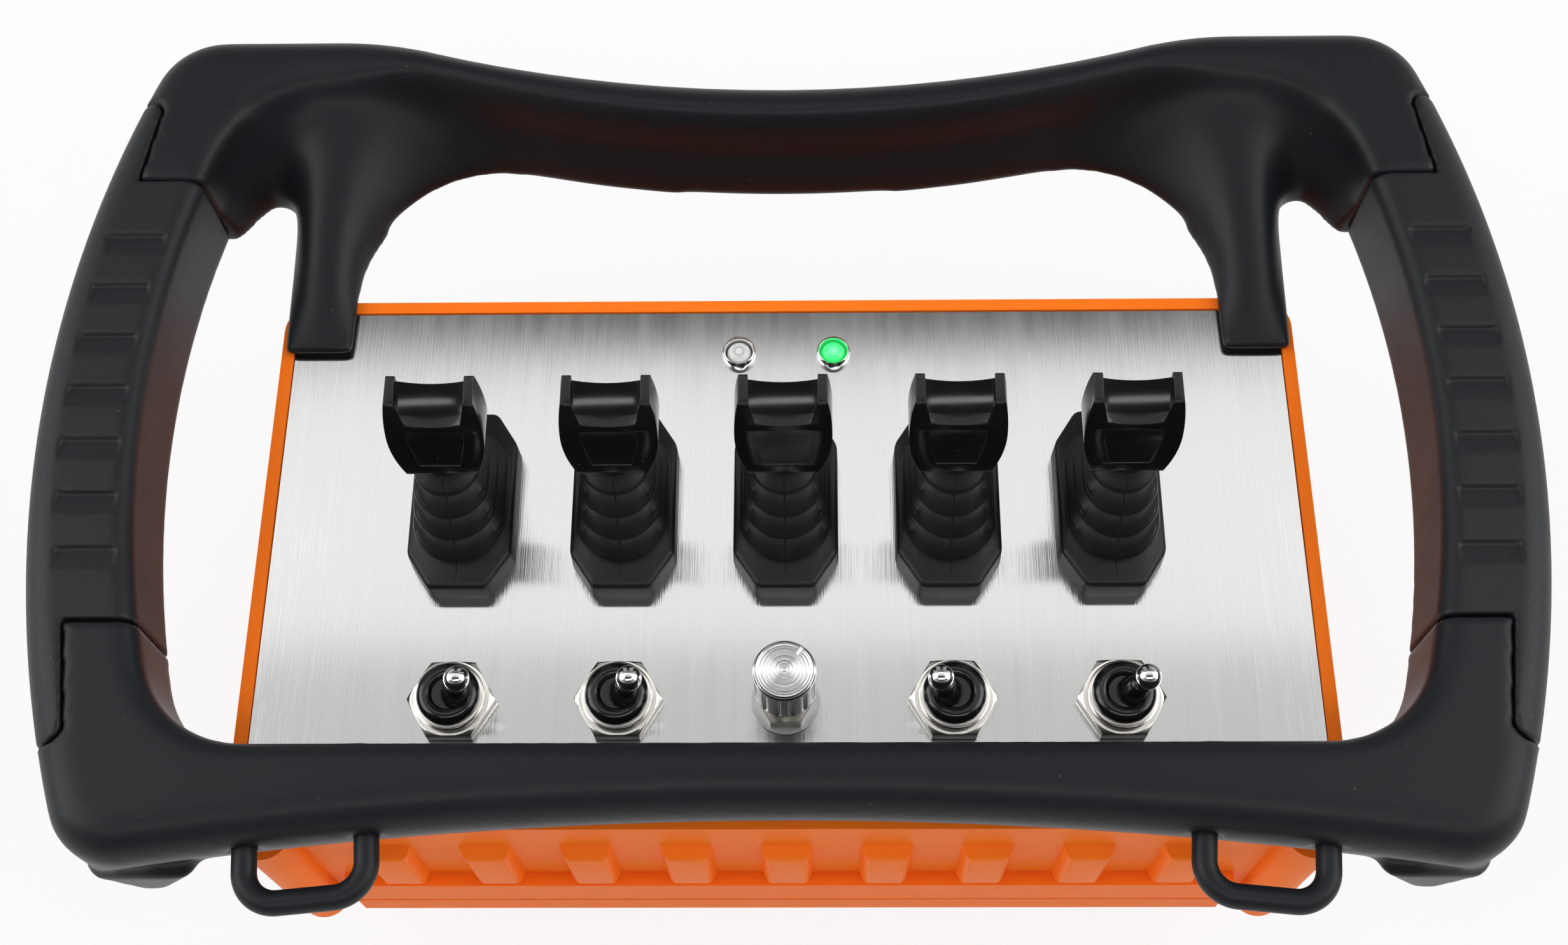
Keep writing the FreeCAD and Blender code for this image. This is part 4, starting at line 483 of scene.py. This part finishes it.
folds = [(10.68, 17.2, 10.0), (9.63, 14.3, 16.0), (8.58, 11.5, 22.0), (7.53, 8.6, 28.0)]
tuck = 2.6
lip = [(tuck, -1.6), (1.0, -1.5), (0.25, -1.05), (0.0, -0.45), (0.2, 0.15), (0.7, 0.65)]
under_neck = (7.2, 8.0, 32.4)
neck = [(5.3, 5.6, 31.0), (5.0, 5.3, 31.4), (4.9, 5.2, 32.1), (3.3, 3.4, 32.1), (3.3, 3.4, 28.0)]
for number in range(1, 6):
    boot = bmesh.new()
    floor_face = boot.faces.new([boot.verts.new((x, y, 0.05)) for x, y in base_corners])
    walls = bmesh.ops.extrude_face_region(boot, geom=[floor_face])["geom"]
    lid = next(part for part in walls if isinstance(part, bmesh.types.BMFace))
    bmesh.ops.translate(boot, vec=(0, 0, base_tall), verts=lid.verts)
    bmesh.ops.scale(boot, vec=(0.985, 0.99, 1), verts=lid.verts)
    rim = list(lid.edges)
    upright = [edge for edge in boot.edges if abs(edge.verts[0].co.z - edge.verts[1].co.z) > 1]
    bmesh.ops.bevel(boot, geom=rim + upright, offset=base_round, offset_type="OFFSET", affect="EDGES",
                    segments=3, profile=0.5, material=-1, clamp_overlap=True)
    top = max(boot.faces, key=lambda side: side.calc_center_median().z * 1000 + side.calc_area())
    outer = list(top.edges)
    boot.faces.remove(top)
    loops = [bar_loop(boot, 10.9, 18.2, 7.6), bar_loop(boot, 9.9, 16.5, 8.4)]
    for step, (wide, long, height) in enumerate(folds):
        for inward, lift in lip:
            loops.append(bar_loop(boot, wide - inward, long - inward, height + lift))
        after = folds[step + 1] if step + 1 < len(folds) else under_neck
        for share, out in ((0.35, 0.7), (0.7, 0.65)):
            loops.append(bar_loop(boot, wide + (after[0] - tuck - wide) * share + out,
                                  long + (after[1] - tuck - long) * share + out,
                                  height + (after[2] - 1.5 - height) * share))
    for wide, long, height in neck:
        loops.append(bar_loop(boot, wide, long, height))
    bmesh.ops.bridge_loops(boot, edges=outer + loops[0])
    for below, above in zip(loops, loops[1:]):
        bmesh.ops.bridge_loops(boot, edges=below + above)
    x = (number - 3) * pitch
    made = settle(boot, (x, row, face), f"bellows_{number}", folded)
    x / 1000
    x / 1000
    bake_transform(made)
    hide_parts(f"lever_boot_{number}")


# Lever paddles: thumb paddles in gloss black plastic, pressed on the lever stems. Each has bowed flanks, a
# finger dish between two ears on top, and a shallow panel sunk in its front.

gloss = Finish("gloss_black", IOR=1.5)
jet = gloss.blend(gloss.noise(30.0), (0.0040, 0.0040, 0.0042, 1), (0.0062, 0.0062, 0.0068, 1))
gloss.feed("Base Color", gloss.blend(gloss.specks(420.0, 0.07, 0.12) * 0.7, jet, (0.25, 0.25, 0.23, 1)))
gloss.feed("Roughness", 0.11 + 0.12 * gloss.noise(140.0, 4.0))


def carved(blank, *cutters):
    """A blank with the forms of the cutters taken out of it; all are in millimetres."""
    made = []
    for number, form in enumerate((blank, *cutters)):
        data = bpy.data.meshes.new(f"carving_{number}")
        form.to_mesh(data)
        form.free()
        made.append(bpy.data.objects.new(f"carving_{number}", data))
        bpy.context.scene.collection.objects.link(made[-1])
    for tool in made[1:]:
        carve = made[0].modifiers.new("carve", "BOOLEAN")
        carve.operation = "DIFFERENCE"
        carve.solver = "EXACT"
        carve.object = tool
    bpy.context.view_layer.update()
    result = bmesh.new()
    result.from_object(made[0], bpy.context.evaluated_depsgraph_get())
    for thing in made:
        data = thing.data
        bpy.data.objects.remove(thing)
        bpy.data.meshes.remove(data)
    return result


def prism(outline, start, reach):
    """A closed form: an outline of points, drawn out from where it lies along reach."""
    form = bmesh.new()
    cap = form.faces.new([form.verts.new(Vector(point) + Vector(start)) for point in outline])
    grown = bmesh.ops.extrude_face_region(form, geom=[cap])["geom"]
    bmesh.ops.translate(form, vec=reach, verts=[part for part in grown if isinstance(part, bmesh.types.BMVert)])
    bmesh.ops.recalc_face_normals(form, faces=form.faces)
    return form


def sharp_edges(form, degrees):
    """The edges of a form that turn by more than some degrees."""
    return [edge for edge in form.edges if edge.calc_face_angle(0.0) > math.radians(degrees)]


paddle_side = [(0, -5.2, 32.2), (0, 5.4, 32.2), (0, 8.4, 53.3), (0, 7.7, 54.0), (0, 1.8, 53.0)]
half_wide = 10.7
widest = 43
bow_below, bow_above = 21.6, 47.2
dish_y, dish_z = -2.47, 60.6
dish_radius, dish_half = 14, 7.5
dish_waist = 1.8
sunk_low = 34.6
sunk_outline = [(-4.4, 0, sunk_low), (4.4, 0, sunk_low), (6.2, 0, 41.5), (6.2, 0, 44.5), (-6.2, 0, 44.5),
                (-6.2, 0, 41.5)]
sunk_slope = 7.0 / 20.8 - 0.008
for number in range(1, 6):
    blank = prism(paddle_side, (-half_wide, 0, 0), (2 * half_wide, 0, 0))
    for height in range(33, 54):
        cuts(blank, (0, 0, height), (0, 0, 1))
    for vert in blank.verts:
        bow, away = (bow_below, widest - vert.co.z) if vert.co.z < widest else (bow_above, vert.co.z - widest)
        vert.co.x *= 1 - (bow - math.sqrt(bow * bow - away * away)) / half_wide
    dish = bmesh.new()
    lying = Matrix.Translation((0, dish_y, dish_z)) @ Matrix.Rotation(math.radians(90), 4, "Y")
    bmesh.ops.create_cone(dish, cap_ends=True, segments=96, radius1=dish_radius, radius2=dish_radius,
                          depth=2 * dish_half, matrix=lying)
    for x in (-5, -2.5, 0, 2.5, 5):
        cuts(dish, (x, 0, 0), (1, 0, 0))
    for y in (dish_waist, -0.4):
        cuts(dish, (0, y, 0), (0, 1, 0))
    for vert in dish.verts:
        crown = 1 + 0.045 * (1 - (vert.co.x / dish_half) ** 2)
        vert.co.y = dish_y + (vert.co.y - dish_y) * crown
        vert.co.z = dish_z + (vert.co.z - dish_z) * crown
        vert.co.x *= 1 - 0.21 * min(1, max(0, (dish_waist - vert.co.y) / 2.2))
    sunk = prism(sunk_outline, (0, -9.0, 0), (0, 4.86, 0))
    for vert in sunk.verts:
        vert.co.y += (vert.co.z - sunk_low) * sunk_slope
    paddle = carved(blank, dish, sunk)
    bmesh.ops.remove_doubles(paddle, verts=paddle.verts, dist=0.01)
    bmesh.ops.bevel(paddle, geom=sharp_edges(paddle, 28), offset=0.32, offset_type="OFFSET", affect="EDGES",
                    segments=3, profile=0.5, material=-1, clamp_overlap=True)
    x = (number - 3) * pitch
    made = settle(paddle, (x, row, face), f"paddle_{number}", gloss)
    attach(made, f"lever_{number}")
    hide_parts(f"lever_paddle_{number}")


# Toggle nuts: four nickel-plated nuts, one to a toggle switch. Each is a hexagon with a round collar, turned from
# bar, and clamps its switch to the panel from above. The switch bodies below are black plastic.

def lathe(profile, steps=64):
    """A turned form: a profile of radius and height, in millimetres, spun round the upright axis."""
    form = bmesh.new()
    points = [form.verts.new((radius, 0, height)) for radius, height in profile]
    lines = [form.edges.new(pair) for pair in zip(points, points[1:])]
    bmesh.ops.spin(form, geom=points + lines, cent=(0, 0, 0), axis=(0, 0, 1), angle=math.tau, steps=steps,
                   use_merge=True)
    bmesh.ops.remove_doubles(form, verts=form.verts, dist=0.0005)
    bmesh.ops.recalc_face_normals(form, faces=form.faces)
    return form


def soften(form, degrees, offset, segments=2):
    """Round the sharp edges of a form."""
    bmesh.ops.bevel(form, geom=sharp_edges(form, degrees), offset=offset, offset_type="OFFSET", affect="EDGES",
                    segments=segments, profile=0.5, material=-1, clamp_overlap=True)


def gathered(forms):
    """Several forms, each with the place it goes to, as one."""
    whole = bmesh.new()
    for form, place in forms:
        bmesh.ops.translate(form, vec=place, verts=form.verts)
        data = bpy.data.meshes.new("gathered")
        form.to_mesh(data)
        form.free()
        whole.from_mesh(data)
        bpy.data.meshes.remove(data)
    return whole


def hexagon(across, tall):
    """A hexagon nut blank whose top corners are chamfered, standing on the panel."""
    form = bmesh.new()
    corner = across / math.sqrt(3)
    standing = Matrix.Translation((0, 0, tall / 2)) @ Matrix.Rotation(math.pi / 6, 4, "Z")
    bmesh.ops.create_cone(form, cap_ends=True, segments=6, radius1=corner, radius2=corner, depth=tall,
                          matrix=standing)
    reach = across / 2
    ring_cut = lathe([(reach - 0.3, tall + 0.2), (reach + 2, tall - 1.0), (reach + 3, tall + 0.2),
                      (reach - 0.3, tall + 0.2)], 96)
    form = carved(form, ring_cut)
    bmesh.ops.remove_doubles(form, verts=form.verts, dist=0.005)
    return form


nickel = Finish("bright_nickel", Metallic=1.0)
nickel.feed("Base Color", nickel.blend(nickel.noise(200.0), (0.72, 0.69, 0.64, 1), (0.82, 0.79, 0.75, 1)))
nickel.feed("Roughness", 0.10 + 0.12 * nickel.noise(500.0))
columns = [-76.0, -38.0, 38.0, 76.0]
switch_row = -37.5
nut_across, nut_tall = 17.5, 3.4
clamps = []
for x in columns:
    nut = hexagon(nut_across, nut_tall)
    soften(nut, 25, 0.15)
    collar = lathe([(4.0, 3.2), (8.0, 3.2), (8.0, 5.6), (4.0, 5.6), (4.0, 3.2)], 72)
    soften(collar, 40, 0.3)
    clamps += [(nut, (x, switch_row, face)), (collar, (x, switch_row, face))]
made = settle(gathered(clamps), (0, 0, 0), "toggle_clamps", nickel)
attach(made, "case")
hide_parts("toggle_nuts")
nickel.on("lamp_nuts", "pot_nut", "pot_body")
satin.on("toggle_switches")


# Toggle boots: soft black rubber rolls that keep water out of the toggles. Each is moulded as a ring and sits in
# its nut's collar, round the foot of the lever.

for number, x in enumerate(columns, 1):
    roll = lathe([(1.0, 5.0), (6.2, 5.0), (6.9, 5.4), (7.2, 6.2), (7.1, 7.1), (6.5, 7.9), (5.6, 8.4), (4.6, 8.3),
                  (3.9, 7.8), (3.6, 7.2), (1.0, 7.2), (1.0, 5.0)], 72)
    made = settle(roll, (x, switch_row, face), f"toggle_roll_{number}", gloss, 50)
    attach(made, "case")
    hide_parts(f"toggle_boot_{number}")


# Toggle levers: chromed steel bats with a ball end, turned from bar, each on a pivot under the panel. A rubber
# sleeve moulded round the lower half of each leans with it.

chrome = Finish("chrome", Metallic=1.0)
chrome.feed("Base Color", chrome.blend(chrome.noise(200.0), (0.80, 0.80, 0.80, 1), (0.88, 0.88, 0.88, 1)))
chrome.feed("Roughness", 0.04 + 0.06 * chrome.noise(400.0))
lean = 11.5
leans_left = 3
pivot = 98.5 - face
ball = 2.9
ball_height = 17.5
for number, x in enumerate(columns, 1):
    turn = Matrix.Rotation(math.radians(-lean if number == leans_left else lean), 3, "Y")
    sleeve = lathe([(1.5, 6.8), (3.55, 6.8), (3.5, 8.0), (3.1, 9.4), (2.75, 11.0), (2.5, 12.6), (2.3, 13.4),
                    (1.95, 13.6), (1.5, 13.4), (1.5, 6.8)], 48)
    bat = lathe([(0, 6.9), (1.55, 6.9), (1.55, 14.0), (1.7, 14.6), (2.1, 15.2)]
                + [(ball * math.cos(math.radians(step)), ball_height + ball * math.sin(math.radians(step)))
                   for step in range(-40, 90, 10)] + [(0, ball_height + ball)], 48)
    for form, name, finish in ((sleeve, "toggle_sleeve", gloss), (bat, "toggle_bat", chrome)):
        bmesh.ops.rotate(form, cent=(0, 0, pivot), matrix=turn, verts=form.verts)
        made = settle(form, (x, switch_row, face), f"{name}_{number}", finish, 50)
        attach(made, f"toggle_{number}")
    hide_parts(f"toggle_lever_{number}")


# Knob: turned from aluminium bar and fixed on the potentiometer's shaft by a screw. Its skirt is fluted, its
# top is spun with fine rings, and a short white notch marks where it points.

turned = Finish("turned_aluminium", Metallic=1.0)
centred = turned.start.node("ShaderNodeMapping", {}, {
    "Vector": turned.place, "Location": (0, -switch_row / 1000, 0)})
flat = turned.start.node("ShaderNodeVectorMath", {"operation": "MULTIPLY"}, {0: centred, 1: (1, 1, 0)})
radius = turned.start.node("ShaderNodeVectorMath", {"operation": "LENGTH"}, {0: flat}, "Value")
rings = turned.start.node("ShaderNodeTexNoise", {"noise_dimensions": "1D"}, {
    "W": radius, "Scale": 2600.0, "Detail": 2.0})
turned.feed("Base Color", turned.blend(rings, (0.62, 0.62, 0.62, 1), (0.86, 0.86, 0.86, 1)))
turned.feed("Roughness", 0.20 + 0.14 * rings)
turned.bump(rings, 0.90, 0.0003)
knob_steps = 112
flute_steps = 8
flute_depths = {0: 0.935, 1: 0.965, 7: 0.965}
knob = lathe([(0, 10.6), (6.5, 10.6), (7.0, 11.0), (7.0, 12.4), (7.0, 20.8), (7.0, 21.7), (6.45, 22.8),
              (6.25, 23.0), (6.1, 22.85), (0, 22.85)], knob_steps)
skirt = [vert for vert in knob.verts if 12 < vert.co.z < 21 and vert.co.xy.length > 6.9]
for vert in skirt:
    place = round(math.atan2(vert.co.y, vert.co.x) / math.tau * knob_steps) % flute_steps
    vert.co.xy = vert.co.xy * flute_depths.get(place, 1.0)
pointing = Matrix.Rotation(math.radians(-37.5), 3, "Z")
notch_floor = 22.45
slot_cut = prism([(-0.45, 4.3, notch_floor), (0.45, 4.3, notch_floor), (0.45, 8, notch_floor),
                  (-0.45, 8, notch_floor)], (0, 0, 0), (0, 0, 2))
bmesh.ops.rotate(slot_cut, cent=(0, 0, 0), matrix=pointing, verts=slot_cut.verts)
knob = carved(knob, slot_cut)
made = settle(knob, (0, switch_row, face), "turned_knob", turned, 25)
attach(made, "knob_turner")
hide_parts("knob")
enamel = Finish("white_enamel", IOR=1.5)
enamel.feed("Base Color", enamel.blend(enamel.noise(400.0), (0.80, 0.80, 0.79, 1), (0.90, 0.90, 0.89, 1)))
enamel.feed("Roughness", 0.25 + 0.1 * enamel.noise(900.0))
mark_low = 22.3
mark = prism([(-0.42, 4.35, mark_low), (0.42, 4.35, mark_low), (0.42, 6.3, mark_low), (-0.42, 6.3, mark_low)],
             (0, 0, 0), (0, 0, 0.4))
bmesh.ops.rotate(mark, cent=(0, 0, 0), matrix=pointing, verts=mark.verts)
made = settle(mark, (0, switch_row, face), "knob_mark", enamel)
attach(made, "knob_turner")
steel.on("pot_washer", "pot_shaft")


# Lamps: two small indicator lamps behind the levers, each a moulded lens in a chromed bezel: the left one
# clear and unlit, the right one glowing green.

lamp_row = 51.9
lamp_out = 11.6
lens_radius = 0.0031
bezels = []
for x in (-lamp_out, lamp_out):
    bezel = lathe([(3.25, -8.0), (3.25, 1.5), (3.4, 2.1), (3.65, 2.4), (3.95, 2.2), (4.1, 1.7), (4.1, 0.0),
                   (3.4, 0.0), (3.4, -8.0), (3.25, -8.0)], 64)
    bezels.append((bezel, (x, lamp_row, face)))
made = settle(gathered(bezels), (0, 0, 0), "lamp_rings", chrome, 40)
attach(made, "case")
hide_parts("lamp_bezels")


def lamp_finish(name, x, **plain):
    """A lens finish, and how far each point of it is from the lens's middle, in metres."""
    finish = Finish(name, IOR=1.49, **plain)
    middle = finish.start.node("ShaderNodeMapping", {}, {
        "Vector": finish.place, "Location": (-x / 1000, -lamp_row / 1000, 0), "Scale": (1, 1, 0)})
    return finish, finish.start.node("ShaderNodeVectorMath", {"operation": "LENGTH"}, {0: middle}, "Value")


clear, away = lamp_finish("clear_lens", -lamp_out)
ringed = away.node("ShaderNodeValToRGB", {"stops": [
    (0.0, (0.78, 0.79, 0.77, 1)), (0.28, (0.70, 0.71, 0.69, 1)), (0.36, (0.42, 0.42, 0.41, 1)),
    (0.46, (0.66, 0.66, 0.64, 1)), (0.80, (0.74, 0.74, 0.72, 1)), (1.0, (0.40, 0.40, 0.39, 1))]},
    {0: away / lens_radius})
clear.feed("Base Color", ringed)
clear.feed("Roughness", 0.05 + 0.06 * clear.noise(600.0))
green, away = lamp_finish("green_lens", lamp_out, Emission_Strength=0.75)
lit = away.node("ShaderNodeValToRGB", {"stops": [
    (0.0, (0.20, 0.95, 0.35, 1)), (0.5, (0.05, 0.85, 0.20, 1)), (1.0, (0.02, 0.45, 0.09, 1))]},
    {0: away / lens_radius})
green.feed("Base Color", lit)
green.feed("Emission Color", lit)
green.feed("Roughness", 0.05 + 0.06 * green.noise(600.0))
for x, finish, node in ((-lamp_out, clear, "lamp_lens_clear"), (lamp_out, green, "lamp_lens_green")):
    lens = lathe([(0, -6.0), (3.05, -6.0), (3.05, 0.5), (2.9, 1.1), (2.5, 1.6), (1.8, 2.0), (1.0, 2.2),
                  (0, 2.3)], 64)
    made = settle(lens, (x, lamp_row, face), node + "_dome", finish, 50)
    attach(made, "case")
    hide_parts(node)
    "clear_lens" if x < 0 else "green_lens"


# Studio: a pale seamless floor of white paper under five soft lights and a dim white surround. The camera stands
# where it shows the unit as the photograph does.

floor_mesh = bmesh.new()
bmesh.ops.create_grid(floor_mesh, x_segments=2, y_segments=2, size=20.0)
floor_data = bpy.data.meshes.new("floor")
floor_mesh.to_mesh(floor_data)
floor_mesh.free()
floor = bpy.data.objects.new("floor", floor_data)
bpy.context.scene.collection.objects.link(floor)
paper = Finish("white_paper", Roughness=0.9)
paper.feed("Base Color", paper.blend(paper.noise(20.0), (0.80, 0.80, 0.80, 1), (0.84, 0.84, 0.84, 1)))
path = paper.start.node("ShaderNodeLightPath", output="Is Camera Ray")
mirrored = path.maths("MAXIMUM", path, path.also("Is Glossy Ray"))
seen = path.maths("MAXIMUM", mirrored, path.also("Is Transmission Ray"))
glow = path.node("ShaderNodeEmission", {}, {"Color": (1, 1, 1, 1), "Strength": 1.0})
plain_paper = Socket(paper.tree, paper.shader.outputs[0])
lit_floor = path.node("ShaderNodeMixShader", {}, {0: seen * 0.85, 1: plain_paper, 2: glow})
paper.tree.links.new(lit_floor.output, paper.tree.nodes["Material Output"].inputs["Surface"])
floor_data.materials.append(paper.material)

world = bpy.data.worlds.new("studio")
bpy.context.scene.world = world
world.use_nodes = True
around = Socket(world.node_tree).node("ShaderNodeTexCoord", output="Generated")
axis = around.node("ShaderNodeSeparateXYZ", {}, {0: around}, "X")
bright = axis.maths("ABSOLUTE", axis) * 0.8 + axis.also("Y") * 0.2 - axis.also("Z") * 0.4 + 0.25
horizon = 1 - axis.also("Z").between(0.08, 0.30)
strength = 0.10 + 0.45 * bright.between(0.0, 1.0) + 0.25 * horizon
backdrop = world.node_tree.nodes["Background"]
world.node_tree.links.new(strength.output, backdrop.inputs["Strength"])
backdrop.inputs["Color"].default_value = (1, 1, 1, 1)


def softbox(name, place, aim, wide, deep, power):
    """A rectangular area light at a place, turned to what it is aimed at."""
    lamp = bpy.data.lights.new(name, "AREA")
    lamp.shape = "RECTANGLE"
    lamp.size, lamp.size_y = wide, deep
    lamp.energy = power
    light = bpy.data.objects.new(name, lamp)
    light.location = place
    light.rotation_euler = (Vector(aim) - Vector(place)).to_track_quat("-Z", "Y").to_euler()
    bpy.context.scene.collection.objects.link(light)


softbox("rear", (0.0, 0.64, 1.50), (0, 0.64, 0.0), 1.8, 0.34, 2.2)
softbox("top", (0.0, 0.20, 1.50), (0, 0.20, 0.0), 1.8, 0.54, 2.1)
softbox("left", (-1.20, 0.05, 0.95), (0, 0, 0.1), 1.2, 1.2, 12.5)
softbox("right", (1.20, 0.05, 0.95), (0, 0, 0.1), 1.2, 1.2, 12.5)
softbox("front", (0.05, -0.62, 1.15), (0, 0, 0.1), 1.2, 0.2, 3.4)

view = bpy.data.cameras.new("camera")
view.sensor_fit = "HORIZONTAL"
view.sensor_width = 36.0
view.lens = 44.086
camera = bpy.data.objects.new("camera", view)
camera.location = (0.00606, -0.17198, 0.51866)
turns = (Matrix.Rotation(math.radians(1.960), 3, "Z") @ Matrix.Rotation(math.radians(24.616), 3, "X")
         @ Matrix.Rotation(math.radians(-2.042), 3, "Z"))
camera.rotation_euler = turns.to_euler()
bpy.context.scene.collection.objects.link(camera)
bpy.context.scene.camera = camera
bpy.context.scene.view_settings.view_transform = "Standard"
